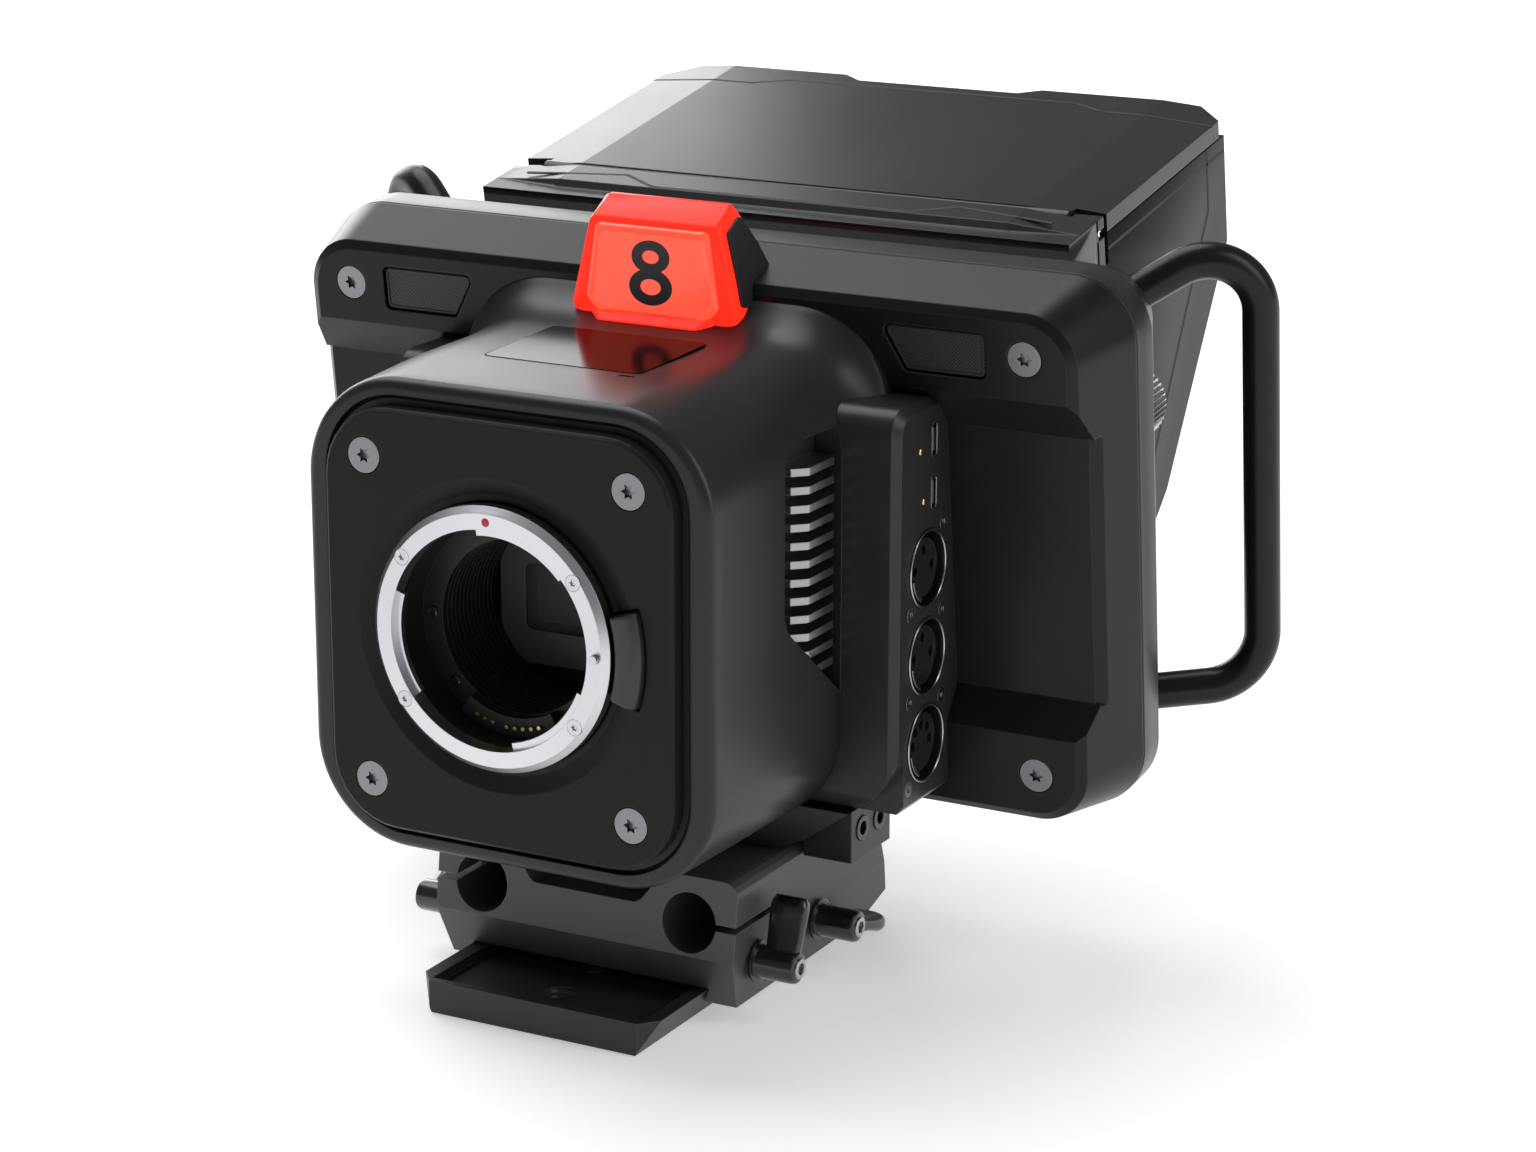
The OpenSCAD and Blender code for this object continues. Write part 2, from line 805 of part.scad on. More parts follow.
// The dark tube that carries the ring, narrows to a ribbed baffle and ends in a lip
module throat_liner() color("#151516") at_lens() difference() {
    turned() polygon([[throat_r, ring_t], [liner_outer_r, ring_t], [liner_outer_r, plate_back],
        [liner_flange_r, plate_back], [liner_flange_r, ledge_y], [liner_outer_r, ledge_y],
        [liner_outer_r, liner_floor_y + liner_floor_t],
        [baffle_r + liner_wall, liner_floor_y + liner_floor_t],
        [baffle_r + liner_wall, liner_end - liner_wall], [liner_lip_r, liner_end - liner_wall],
        [liner_lip_r, liner_end], [baffle_r, liner_end], [baffle_r, liner_floor_y],
        [throat_r, liner_floor_y]]);
    for (i = [0:rib_count - 1])
        translate([0, liner_floor_y + liner_floor_t / 2 + i * rib_pitch, 0]) turned()
            translate([baffle_r - ov, 0]) square([ov + rib_depth, rib_pitch / 2]);
    at_ring_screws() rod_y(ring_screw_shank_d + 2 * run_gap, 0, ring_screw_len + ov);
    translate([ring_screw_r, 0, 0])
        rod_y(pin_d + 2 * run_gap, ring_t - ov, ring_t + release_travel + ov);
}

module contact_block() color("#1c1c1e") at_lens()
    turned(contact_block_start_angle, contact_block_angle)
        translate([baffle_r + seat_gap, liner_floor_y - contact_block_t])
            square([throat_r - baffle_r - 2 * seat_gap, contact_block_t]);

module contact_pins() color("#d9b04a") at_lens() for (i = [0:contact_count - 1]) {
    angle = contact_first_angle + i * contact_step_angle + (i > 2 ? contact_gap_angle : 0);
    rotate([0, -angle, 0]) translate([(baffle_r + throat_r) / 2, 0, 0])
        rod_y(contact_d, liner_floor_y - contact_block_t - contact_out,
            liner_floor_y - contact_block_t);
}

module release_button() color("#242527") at_lens()
    turned(-button_half_angle, 2 * button_half_angle)
        translate([ring_r + button_inner_gap, button_front_y])
            square([button_radial, plate_back - release_travel - button_back_clear
                - button_front_y]);

module lock_pin() color("#d0d2d4") at_lens() translate([ring_screw_r, 0, 0])
    rod_y(pin_d, -pin_front, ring_t);

// Filter, sensor, boards and fan

module filter_frame() color("#1d1e20") at_lens() difference() {
    slab(liner_end, liner_end + filter_frame_t)
        rounded(filter_frame_w, filter_frame_h, window_corner_r);
    slab(liner_end - ov, liner_end + filter_frame_t - filter_glass_t)
        rounded(filter_win_w - window_corner, filter_win_h - window_corner, window_corner_r);
    slab(liner_end + filter_frame_t - filter_glass_t, liner_end + filter_frame_t + ov)
        square([filter_win_w, filter_win_h], center = true);
}

module filter_glass() color("#3c4a50") at_lens()
    slab(liner_end + filter_frame_t - filter_glass_t, liner_end + filter_frame_t)
        square([filter_win_w - 2 * run_gap, filter_win_h - 2 * run_gap], center = true);

module image_sensor() color("#33403f") at_lens() {
    slab(flange_focal, flange_focal + sensor_t) square([sensor_w, sensor_h], center = true);
    slab(flange_focal - sensor_glass_t, flange_focal + sensor_t / 2)
        square([sensor_glass_w, sensor_glass_h], center = true);
}

sensor_board_y = flange_focal + sensor_t;

module sensor_board() color("#1f4a36") at_lens() {
    slab(sensor_board_y, sensor_board_y + board_t)
        square([sensor_board_w, sensor_board_h], center = true);
    for (sx = [-1, 1])
        for (sz = [-1, 1])
            translate([sx * (sensor_board_w / 2 - board_post_d), 0,
                    sz * (sensor_board_h / 2 - board_post_d)])
                rod_y(board_post_d, sensor_board_y + board_t / 2, main_board_y);
}

module main_board() color("#1d5239") at_lens() difference() {
    half = body_half(main_board_y) - shell_wall - seat_gap;
    top = body_top(main_board_y) - shell_wall - seat_gap;
    bottom = body_bottom() + shell_wall + seat_gap;
    slab(main_board_y, main_board_y + board_t) translate([0, (top + bottom) / 2])
        rounded(2 * half, top - bottom, body_corner_r - shell_wall - seat_gap);
    mirrored() side_slab(sink_floor_x - tray_wall - seat_gap, body_w)
        vent_shape(-tray_wall - seat_gap);
}

module fan_frame() color("#1a1a1c") at_lens() difference() {
    union() {
        slab(fan_y, fan_y + fan_depth) rounded(fan_size, fan_size, window_corner);
        for (sx = [-1, 1])
            for (sz = [-1, 1])
                translate([sx * (fan_size / 2 - board_post_d), 0,
                        sz * (fan_size / 2 - board_post_d)])
                    rod_y(board_post_d, main_board_y + board_t, fan_y + fan_wall);
    }
    difference() {
        rod_y(fan_size - 2 * fan_wall, fan_y - ov, fan_y + fan_depth + ov);
        rod_y(fan_hub_d, fan_y + fan_depth - fan_wall, fan_y + fan_depth);
        for (a = [0:60:120])
            rotate([0, a, 0]) block([-fan_size / 2, fan_y + fan_depth - fan_wall, -fan_wall],
                [fan_size / 2, fan_y + fan_depth, fan_wall]);
    }
    rod_y(fan_axle_d, fan_y, fan_y + fan_depth + ov);
}

module fan_rotor() color("#2a2a2c") at_lens() {
    rotor_back = fan_y + fan_depth - fan_wall - seat_gap;
    rod_y(fan_hub_d, fan_y, rotor_back);
    rod_y(fan_axle_d - 2 * run_gap, fan_y, fan_y + fan_depth - run_gap);
    for (i = [0:fan_blades - 1])
        rotate([0, i * 360 / fan_blades, 0])
            translate([fan_hub_d / 2 - ov, (fan_y + rotor_back) / 2, 0]) rotate([40, 0, 0])
                translate([0, 0, -fan_blade_t / 2])
                    linear_extrude(fan_blade_t) square([(fan_size - fan_hub_d) / 2 - fan_wall
                        - fan_gap, fan_depth / 2]);
}

module top_window() color("#0d0d0f") at_lens() window_place()
    translate([0, 0, -window_t]) linear_extrude(window_t + window_proud) window_shape(0);

// Heat sinks: a base plate on the tray's floor with a row of fins

module fin_shape() polygon([[0, 0], [0, fin_rear - fin_front],
    [fin_reach, fin_rear - fin_front - fin_reach / 3], [fin_reach, fin_tip_inset],
    [fin_reach - fin_tip_inset, 0]]);

fin_reach = body_half(fin_front) - sink_floor_x - sink_base_t / 2;

module heat_sink() at_lens() {
    side_slab(sink_floor_x, sink_floor_x + sink_base_t) vent_shape(seat_gap);
    intersection() {
        for (i = [0:fin_count - 1])
            translate([sink_floor_x + sink_base_t / 2, fin_front, fin_top - i * fin_pitch])
                linear_extrude(fin_t) fin_shape();
        side_slab(sink_floor_x, body_w) vent_shape(seat_gap);
    }
}

module heat_sink_right() color("#55575a") heat_sink();

module heat_sink_left() color("#55575a") mirror([1, 0, 0]) heat_sink();

// Connector pods

module pod_shape(inset) {
    rear = housing_setback + recess_depth + pod_corner_r;
    front = pod_front + inset;
    top = pod_top - inset;
    bottom = pod_bottom + inset;
    r = pod_corner_r - inset / 2;
    translate([front + r, top - r]) circle(r);
    translate([front + r, bottom + r]) circle(r);
    translate([front, bottom + r]) square([rear - front, top - bottom - 2 * r]);
    translate([front + r, bottom]) square([rear - front - r, top - bottom]);
}

// The corner of a pod that lies outside the neck's outline, cut or kept to a depth
module pod_corner(depth, inset) slab(pod_front - ov, pod_front + depth) difference() {
    translate([pod_inner_x - 2 * ov, pod_bottom - ov]) square([pod_half_w, ov - pod_bottom]);
    translate([-inset, inset]) neck_outline();
}

module pod_blank() difference() {
    union() {
        side_slab(pod_inner_x, pod_half_w - pod_bevel) pod_shape(0);
        hull() {
            side_slab(pod_half_w - pod_bevel, pod_half_w - pod_bevel + slice) pod_shape(0);
            side_slab(pod_half_w - slice, pod_half_w) pod_shape(pod_bevel);
        }
    }
    difference() {
        side_slab(pod_inner_x - ov, pod_half_w - pod_wall) pod_shape(pod_wall);
        pod_corner(neck_depth + neck_skin, pod_wall);
    }
    pod_corner(neck_depth, 0);
    body_solid();
    behind_housing();
}

module at_xlr() for (i = [0:2])
    translate([pod_half_w, xlr_y, xlr_top_z - i * xlr_pitch]) children();

module at_pod_screws() at_xlr() for (s = [-1, 1])
    translate([0, s * pod_screw_y, s * pod_screw_z]) children();

module right_pod() color("#303133") at_lens() difference() {
    pod_blank();
    at_xlr() rod_x(xlr_d + 2 * run_gap, -pod_wall - ov, ov);
    at_pod_screws() {
        rod_x(pod_screw_d + 2 * run_gap, -pod_screw_h, ov);
        rod_x(pod_screw_shank_d + 2 * run_gap, -pod_wall - ov, ov);
    }
    for (z = usb_z)
        translate([0, usb_y, z]) side_slab(pod_half_w - pod_wall - ov, pod_half_w + ov)
            rounded(usb_w + 2 * run_gap, usb_h + 2 * run_gap, usb_w / 2);
}

module xlr_socket() difference() {
    rod_x(xlr_d, -xlr_depth, xlr_proud);
    difference() {
        rod_x(xlr_d - 2 * xlr_wall, xlr_floor - xlr_depth, ov);
        rod_x(xlr_insert_d, -xlr_depth, -xlr_insert_back);
    }
}

module xlr_sockets() color("#2c2d2f") at_lens() difference() {
    at_xlr() xlr_socket();
    for (i = [0:2]) {
        pins = i < 2 ? 3 : 5;
        translate([pod_half_w, xlr_y, xlr_top_z - i * xlr_pitch])
            for (k = [0:pins - 1]) {
                angle = i < 2 ? 90 * k : 45 * k;
                translate([0, xlr_pin_r * cos(angle), xlr_pin_r * sin(angle)])
                    rod_x(xlr_pin_d, xlr_floor - xlr_depth, 0);
            }
    }
}

// A push tab in the gap between the barrel and the insert
module xlr_latch(i) color("#c3c5c8") at_lens()
    translate([pod_half_w, xlr_y, xlr_top_z - i * xlr_pitch])
        rotate([90, 0, 90]) translate([0, 0, -latch_len]) rotate([0, 0, latch_start_angle])
            rotate_extrude(angle = latch_angle)
                translate([xlr_insert_d / 2 + slide_gap, 0]) square([latch_t, latch_len
                    + latch_proud]);

module usb_sockets() color("#8f9194") at_lens() for (z = usb_z)
    translate([0, usb_y, z]) {
        side_slab(pod_half_w - usb_depth, pod_half_w) difference() {
            rounded(usb_w, usb_h, usb_w / 2 - run_gap);
            rounded(usb_w - 2 * usb_wall, usb_h - 2 * usb_wall, usb_w / 2 - usb_wall - run_gap);
        }
        side_slab(pod_half_w - usb_depth, pod_half_w - usb_depth + usb_wall)
            rounded(usb_w, usb_h, usb_w / 2 - run_gap);
        side_slab(pod_half_w - usb_depth, pod_half_w - usb_wall)
            square([usb_tongue_t, usb_h - usb_w], center = true);
    }

module right_pod_screws() color("#77797c") at_lens() at_pod_screws() difference() {
    union() {
        rod_x(pod_screw_d, -pod_screw_h, 0);
        rod_x(pod_screw_shank_d, -pod_wall - pod_screw_h, 0);
    }
    side_slab(-pod_screw_h / 2, ov) square(pod_screw_d / 3, center = true);
}

module left_pod() color("#303133") at_lens() mirror([1, 0, 0]) difference() {
    pod_blank();
    at_bnc() rod_x(bnc_d + 2 * run_gap, -pod_wall - ov, ov);
    translate([pod_half_w, bnc_y, power_z]) rod_x(power_d + 2 * run_gap, -pod_wall - ov, ov);
    translate([0, bnc_y, hdmi_z]) side_slab(pod_half_w - pod_wall - ov, pod_half_w + ov)
        rounded(hdmi_w + 2 * run_gap, hdmi_h + 2 * run_gap, hdmi_w / 4);
}

module at_bnc() for (i = [0:2])
    translate([pod_half_w, bnc_y, bnc_top_z - i * bnc_pitch]) children();

module bnc_sockets() color("#b4b6b9") at_lens() mirror([1, 0, 0]) at_bnc() difference() {
    union() {
        rod_x(bnc_d, -pod_wall - bnc_lug_d, bnc_len);
        rod_x(bnc_flange_d, 0, bnc_lug_d / 2);
        for (s = [0, 180])
            rotate([s, 0, 0]) translate([bnc_len - 2 * bnc_lug_d, 0, 0])
                cylinder(d = bnc_lug_d, h = bnc_d / 2 + bnc_lug_d / 2);
    }
    difference() {
        rod_x(bnc_bore_d, bnc_lug_d, bnc_len + ov);
        rod_x(bnc_lug_d, bnc_lug_d, bnc_len - bnc_lug_d);
    }
}

module hdmi_socket() color("#8f9194") at_lens() mirror([1, 0, 0]) translate([0, bnc_y, hdmi_z]) {
    side_slab(pod_half_w - usb_depth, pod_half_w) difference() {
        rounded(hdmi_w, hdmi_h, hdmi_w / 4);
        rounded(hdmi_w - 2 * hdmi_wall, hdmi_h - 2 * hdmi_wall, hdmi_w / 4 - hdmi_wall);
    }
    side_slab(pod_half_w - usb_depth, pod_half_w - usb_depth + hdmi_wall)
        rounded(hdmi_w, hdmi_h, hdmi_w / 4);
    side_slab(pod_half_w - usb_depth, pod_half_w - hdmi_wall)
        square([hdmi_tongue_t, hdmi_h - hdmi_w / 2], center = true);
}

module power_socket() color("#2a2b2d") at_lens() mirror([1, 0, 0])
    translate([pod_half_w, bnc_y, power_z]) difference() {
        union() {
            rod_x(power_d, -power_depth, 0);
            rod_x(power_d + 2 * xlr_wall, 0, bnc_lug_d);
        }
        difference() {
            rod_x(power_bore_d, pod_wall - power_depth, bnc_lug_d + ov);
            rod_x(power_pin_d, -power_depth, 0);
        }
    }

module audio_jacks() color("#17181a") at_lens() for (i = [0, 1])
    translate([jack_x, jack_y + i * jack_pitch, jack_z]) difference() {
        rod_x(jack_d, run_gap - jack_len, xlr_proud);
        rod_x(jack_bore_d, xlr_floor - jack_len, ov);
    }

// Rear housing

function between(a, b, share) = a + (b - a) * share;

function cover_section(v, inset) = let (share = v / cover_depth)
    section(between(housing_half_w, seam_half_w, share) - inset,
        between(cover_top, seam_top, share) - inset,
        between(cover_bottom, seam_bottom, share) + inset,
        between(cover_r, seam_r, share) - inset);

module cover_blank() loft([0, cover_bevel, cover_depth], [cover_section(0, cover_bevel),
    cover_section(cover_bevel, 0), cover_section(cover_depth, 0)]);

module cover_cavity() loft([housing_wall, cover_depth + ov],
    [cover_section(housing_wall, housing_wall), cover_section(cover_depth + ov, housing_wall)]);

module recess_profile(back) polygon([[back, recess_top],
    [back + recess_depth, recess_top - recess_top_step],
    [back + recess_depth, recess_bottom + recess_bottom_step], [back, recess_bottom]]);

module housing_front() color("#2f3032") at_housing() difference() {
    union() {
        difference() {
            cover_blank();
            difference() {
                cover_cavity();
                side_slab(-far, far) recess_profile(housing_wall);
            }
        }
        at_housing_screws() rod_y(housing_boss_d, housing_wall / 2, cover_depth - seat_gap);
    }
    side_slab(-far, far) recess_profile(0);
    translate([-far, -ov, recess_bottom]) cube([2 * far, ov, recess_top - recess_bottom]);
    slab(-ov, cover_depth + ov) rounded(cable_win_w, cable_win_h, cable_win_r);
    at_housing_screws() {
        rod_y(screw_head_d + 2 * slide_gap, -ov, screw_head_h + slide_gap);
        rod_y(screw_shank_d + 2 * run_gap, 0, cover_depth + ov);
    }
    mirrored() slab(-ov, grille_depth) grille_shape(slide_gap);
}

module grille_shape(grow) polygon([[grille_top_x - grow, grille_top + grow],
    [grille_outer_x + grow, grille_top + grow], [grille_outer_x + grow, grille_bottom - grow],
    [grille_bottom_x - grow, grille_bottom - grow]]);

module mic_grilles() color("#4a4b4d") at_housing() mirrored()
    slab(grille_back, grille_depth) grille_shape(0);

module housing_screws() color("#8d8f92") at_housing() at_housing_screws()
    star_screw(screw_head_d, screw_head_h, screw_shank_d, housing_screw_len, star_d, star_depth);

function rear_section(v, inset) =
    let (start = cover_depth + shoulder, share = max(0, (v - start) / (housing_depth - start)))
    section(between(seam_half_w, rear_half_w, share) - inset,
        between(seam_top, rear_top, share) - inset,
        between(seam_bottom, rear_bottom, share) + inset,
        between(seam_r, rear_r, share) - inset);

module rear_blank() loft([cover_depth, cover_depth + shoulder, housing_depth - cover_bevel,
        housing_depth],
    [rear_section(cover_depth, 0), rear_section(cover_depth + shoulder, 0),
        rear_section(housing_depth - cover_bevel, 0), rear_section(housing_depth, cover_bevel)]);

module rear_cavity() {
    depths = [cover_depth - ov, cover_depth + shoulder, housing_depth - housing_wall];
    loft(depths, [for (v = depths) rear_section(v, housing_wall)]);
}

module at_dial() translate([dial_x, 0, dial_z]) children();

module at_button(i) translate([-button_x, 0, button_top_z - i * button_pitch]) children();

module housing_rear() color("#2f3032") at_housing() difference() {
    union() {
        difference() {
            rear_blank();
            rear_cavity();
            at_dial() rod_y(dial_d + 2 * dial_slot_gap, dial_front - dial_slot_gap,
                dial_front + dial_t + dial_slot_gap);
        }
        at_dial() rod_y(dial_pin_d, dial_front - dial_slot_gap, housing_depth - housing_wall / 2);
    }
    translate([0, 0, glass_middle]) slab(housing_depth - housing_wall - ov, housing_depth + ov)
        square([glass_w + 2 * slide_gap, glass_h + 2 * slide_gap], center = true);
    for (i = [0:4])
        at_button(i) rod_y(button_d + 2 * button_hole_gap, housing_depth - housing_wall - ov,
            housing_depth + ov);
    mirrored() handle_path(tube_d + 2 * handle_hole_gap);
}

module lcd_panel() color("#1b1c1e") at_housing() translate([0, 0, glass_middle])
    slab(housing_depth - housing_wall - panel_t, housing_depth - housing_wall)
        square([glass_w + 2 * panel_margin, glass_h + 2 * panel_margin], center = true);

module lcd_glass() color("#0b0c0e") at_housing() translate([0, 0, glass_middle])
    slab(housing_depth - glass_t, housing_depth) square([glass_w, glass_h], center = true);

module thumb_dial() color("#c4c6c9") at_housing() at_dial() difference() {
    slab(dial_front, dial_front + dial_t)
        polygon([for (i = [0:2 * knurl_count - 1])
            let (r = dial_d / 2 - (i % 2) * knurl_depth, a = 180 * i / knurl_count)
            [r * cos(a), r * sin(a)]]);
    rod_y(dial_pin_d + 2 * run_gap, dial_front - ov, dial_front + dial_t + ov);
}

module rear_button(i) color("#3d3f42") at_housing() at_button(i) {
    rod_y(button_d, housing_depth - housing_wall - seat_gap, housing_depth + button_proud);
    rod_y(button_flange_d, housing_depth - housing_wall - seat_gap - button_flange_t,
        housing_depth - housing_wall - seat_gap);
}

// Handles: a tube along corner points in one upright plane, with round bends

function side_normal(v) = [-v[1], v[0]];

module straight_run(a, b, d) translate([a[0], a[1], 0]) rotate([0, 0, atan2(b[1] - a[1],
    b[0] - a[0])]) rotate([0, 90, 0]) cylinder(d = d, h = norm(b - a));

// The bend at a corner between two directions, swept about its own centre
module round_bend(corner, before, after, r, d) {
    turn = atan2(before[0] * after[1] - before[1] * after[0], before * after);
    reach = r * tan(abs(turn) / 2);
    normal = side_normal(before) * sign(turn);
    centre = corner - before * reach + normal * r;
    translate([centre[0], centre[1], 0])
        rotate([0, 0, atan2(-normal[1], -normal[0]) + min(turn, 0)])
            rotate_extrude(angle = abs(turn)) translate([r, 0]) circle(d = d);
}

module bent_tube(points, r, d) {
    last = len(points) - 1;
    dirs = [for (i = [0:last - 1]) unit(points[i + 1] - points[i])];
    reach = [for (i = [0:last]) i == 0 || i == last ? 0
        : r * tan(acos(dirs[i - 1] * dirs[i]) / 2)];
    for (i = [0:last - 1])
        straight_run(points[i] + dirs[i] * reach[i], points[i + 1] - dirs[i] * reach[i + 1], d);
    for (i = [1:last - 1])
        round_bend(points[i], dirs[i - 1], dirs[i], r, d);
}

handle_out = (seam_half_w + handle_clear - handle_root_x) / cos(handle_turn);

module handle_path(d) translate([handle_root_x, handle_root_v, 0]) rotate([0, 0, handle_turn])
    rotate([90, 0, 0]) bent_tube([[0, handle_root_top], [handle_out, handle_corner_top],
        [handle_out, handle_bottom], [0, handle_bottom]], bend_r, d);

module handle_right() color("#1c1c1e") at_housing() handle_path(tube_d);

module handle_left() color("#1c1c1e") at_housing() mirror([1, 0, 0]) handle_path(tube_d);

// Tally lamp: a wedge over the joint of body and housing

module tally_outline(inset) polygon([
    [-tally_top_half + inset, tally_face_top - inset], [-tally_side_half + inset, tally_side_z],
    [-tally_bottom_half + inset, tally_face_bottom + inset],
    [tally_bottom_half - inset, tally_face_bottom + inset],
    [tally_side_half - inset, tally_side_z], [tally_top_half - inset, tally_face_top - inset]]);

module tally_blank(inset) hull() {
    slab(tally_front + inset, tally_front + inset + slice) tally_outline(inset);
    slab(tally_lip_y + inset, tally_lip_y + inset + slice) polygon([
        [-tally_bottom_half + inset, tally_face_bottom + inset],
        [tally_bottom_half - inset, tally_face_bottom + inset],
        [tally_bottom_half - inset, tally_lip_z - inset],
        [-tally_bottom_half + inset, tally_lip_z - inset]]);
    slab(tally_ridge_y, tally_ridge_y + slice) polygon([
        [-tally_top_half + inset, tally_ridge_z - inset], [-tally_side_half + inset, tally_side_z],
        [tally_side_half - inset, tally_side_z], [tally_top_half - inset, tally_ridge_z - inset]]);
    slab(tally_rear - inset - slice, tally_rear - inset) polygon([
        [-tally_top_half + inset, tally_rear_z - inset], [-tally_side_half + inset, tally_side_z],
        [tally_side_half - inset, tally_side_z], [tally_top_half - inset, tally_rear_z - inset]]);
}

cover_edge_top = between(cover_top, seam_top, cover_bevel / cover_depth);

// The space that the body and the housing fill below the lamp
module tally_seat(gap) {
    translate([0, -gap, gap]) body_solid();
    translate([0, housing_setback, 0]) rotate([housing_pitch, 0, 0])
        side_slab(-far, far) polygon([[-gap, -far], [-gap, cover_top - cover_bevel + gap],
            [cover_bevel - gap, cover_edge_top + gap], [cover_depth, seam_top + gap],
            [far, seam_top + gap], [far, -far]]);
}

module tally_lens() color("#e8321c") at_lens() difference() {
    tally_blank(0);
    tally_blank(tally_wall);
    tally_seat(0);
}

module tally_base() color("#202123") at_lens() difference() {
    tally_blank(tally_wall + slide_gap);
    side_slab(-far, far) polygon([[tally_front - ov, tally_foot_z],
        [housing_setback, tally_foot_z], [tally_rear + ov, tally_foot_z + tally_foot_rise],
        [tally_rear + ov, far], [tally_front - ov, far]]);
    slab(-far, tally_front) square(far, center = true);
    tally_seat(0);
}

tally_board_y = tally_ridge_y;

module tally_led_board() color("#e9e2c8") at_lens() {
    slab(tally_board_y - tally_board_t, tally_board_y) translate([0, tally_board_z])
        square([tally_board_w, tally_board_h], center = true);
    for (i = [0:led_count - 1])
        translate([(i - (led_count - 1) / 2) * tally_board_w / led_count, 0, tally_board_z])
            slab(tally_board_y - tally_board_t - led_size / 2, tally_board_y - tally_board_t / 2)
                square(led_size, center = true);
}

tally_board_z = tally_foot_z + tally_board_h / 2;

// Hood

hinge_y = frame_len + hinge_gap + hinge_d / 2;
side_start = hinge_y + 1.2 * hinge_d;
hinge_half = hood_w / 2 - lug_w;
side_hinge_x = (hood_w - hinge_d) / 2;
side_top = hood_skirt + hinge_gap;
side_hinge_top = side_top + lug_w;
side_hinge_bottom = side_bottom - lug_w;

module hood_frame() color("#262729") at_hood() difference() {
    union() {
        slab(-frame_nose, frame_len) translate([0, -frame_height / 2 - hood_edge_drop])
            difference() {
                square([hood_w, frame_height], center = true);
                square([hood_w - 2 * frame_wall, frame_height - 2 * frame_wall], center = true);
            }
        side_slab(-hinge_half, hinge_half) polygon([[frame_len, 0],
            [-frame_nose_drop, 0], [-frame_nose, -2 * frame_nose_drop],
            [-frame_nose, -2 * frame_wall], [-frame_nose_drop, -2 * frame_wall],
            [-frame_nose_drop, -frame_wall], [frame_len, -frame_wall]]);
        mirrored() {
            block([hinge_half + hinge_gap, frame_len - ov, -hood_edge_drop - hinge_d],
                [hood_w / 2, frame_len + lug_len, -hood_edge_drop]);
            for (z = [hinge_gap - side_hinge_top, -side_bottom])
                block([hood_w / 2 - hinge_d, frame_len - ov, z],
                    [hood_w / 2, frame_len + lug_len, z + lug_w - hinge_gap]);
        }
    }
    translate([0, 0, 0]) rotate([-hood_rise, 0, 0]) translate([0, -housing_depth, -hood_root_z])
        union() {
            block([-far, -far, -far], [far, housing_depth, rear_top]);
            side_slab(-far, far) polygon([[cover_depth, -far], [cover_depth, seam_top + seat_gap],
                [cover_depth + shoulder, seam_top + seat_gap],
                [housing_depth + seat_gap, rear_top + seat_gap], [housing_depth, -far]]);
        }
    mirrored() translate([hinge_half, hinge_y, -hood_edge_drop - hinge_d / 2])
        rod_x(hinge_pin_d, -ov, lug_w + ov);
    mirrored() for (z = [-side_hinge_top - ov, -side_bottom - ov])
        translate([side_hinge_x, hinge_y, z]) cylinder(d = hinge_pin_d, h = lug_w + 2 * ov);
}

// The lid's cross-section: flat middle, falling edges and short skirts
module hood_section() polygon([[-hood_w / 2, -hood_edge_drop],
    [hood_edge_w - hood_w / 2, 0], [hood_w / 2 - hood_edge_w, 0], [hood_w / 2, -hood_edge_drop],
    [hood_w / 2, -hood_skirt], [hood_w / 2 - hood_t, -hood_skirt],
    [hood_w / 2 - hood_t, -hood_edge_drop - hood_t], [hood_w / 2 - hood_edge_w, -hood_t],
    [hood_edge_w - hood_w / 2, -hood_t], [hood_t - hood_w / 2, -hood_edge_drop - hood_t],
    [hood_t - hood_w / 2, -hood_skirt], [-hood_w / 2, -hood_skirt]]);

module hood_top() color("#34363a") at_hood() difference() {
    union() {
        slab(side_start, hood_len) hood_section();
        block([-hinge_half + hinge_gap, hinge_y, -hood_edge_drop - hood_t],
            [hinge_half - hinge_gap, side_start + ov, -hood_edge_drop]);
        translate([0, hinge_y, -hood_edge_drop - hinge_d / 2])
            rod_x(hinge_d, -hinge_half + hinge_gap, hinge_half - hinge_gap);
    }
    mirrored() translate([hinge_half, hinge_y, -hood_edge_drop - hinge_d / 2])
        rod_x(hinge_pin_d + 2 * run_gap, -lug_w - ov, ov);
    translate([0, 0, -far / 2]) linear_extrude(far) polygon([
        [-hood_notch_w / 2, hood_len + ov], [-hood_notch_w / 2, hood_len],
        [hood_notch_in - hood_notch_w / 2, hood_len - hood_notch_depth],
        [hood_notch_w / 2 - hood_notch_in, hood_len - hood_notch_depth],
        [hood_notch_w / 2, hood_len], [hood_notch_w / 2, hood_len + ov]]);
}

module hood_side() difference() {
    union() {
        side_slab(hood_w / 2 - hood_t, hood_w / 2) polygon([[hinge_y, -side_hinge_top],
            [side_start, -side_hinge_top], [side_start, -side_top],
            [hinge_y + hood_side_len, -side_top], [hinge_y + hood_side_len, -side_rear_h],
            [hinge_y + side_bend_y, side_bend_rise - side_bottom], [hinge_y, -side_hinge_bottom]]);
        translate([side_hinge_x, hinge_y, -side_hinge_bottom])
            cylinder(d = hinge_d, h = side_hinge_bottom - side_hinge_top);
    }
    for (z = [-side_hinge_bottom - ov, -side_hinge_top - lug_w])
        translate([side_hinge_x, hinge_y, z])
            cylinder(d = hinge_pin_d + 2 * run_gap, h = lug_w + ov);
}

module hood_right() color("#2c2d30") at_hood() hood_side();

module hood_left() color("#2c2d30") at_hood() mirror([1, 0, 0]) hood_side();

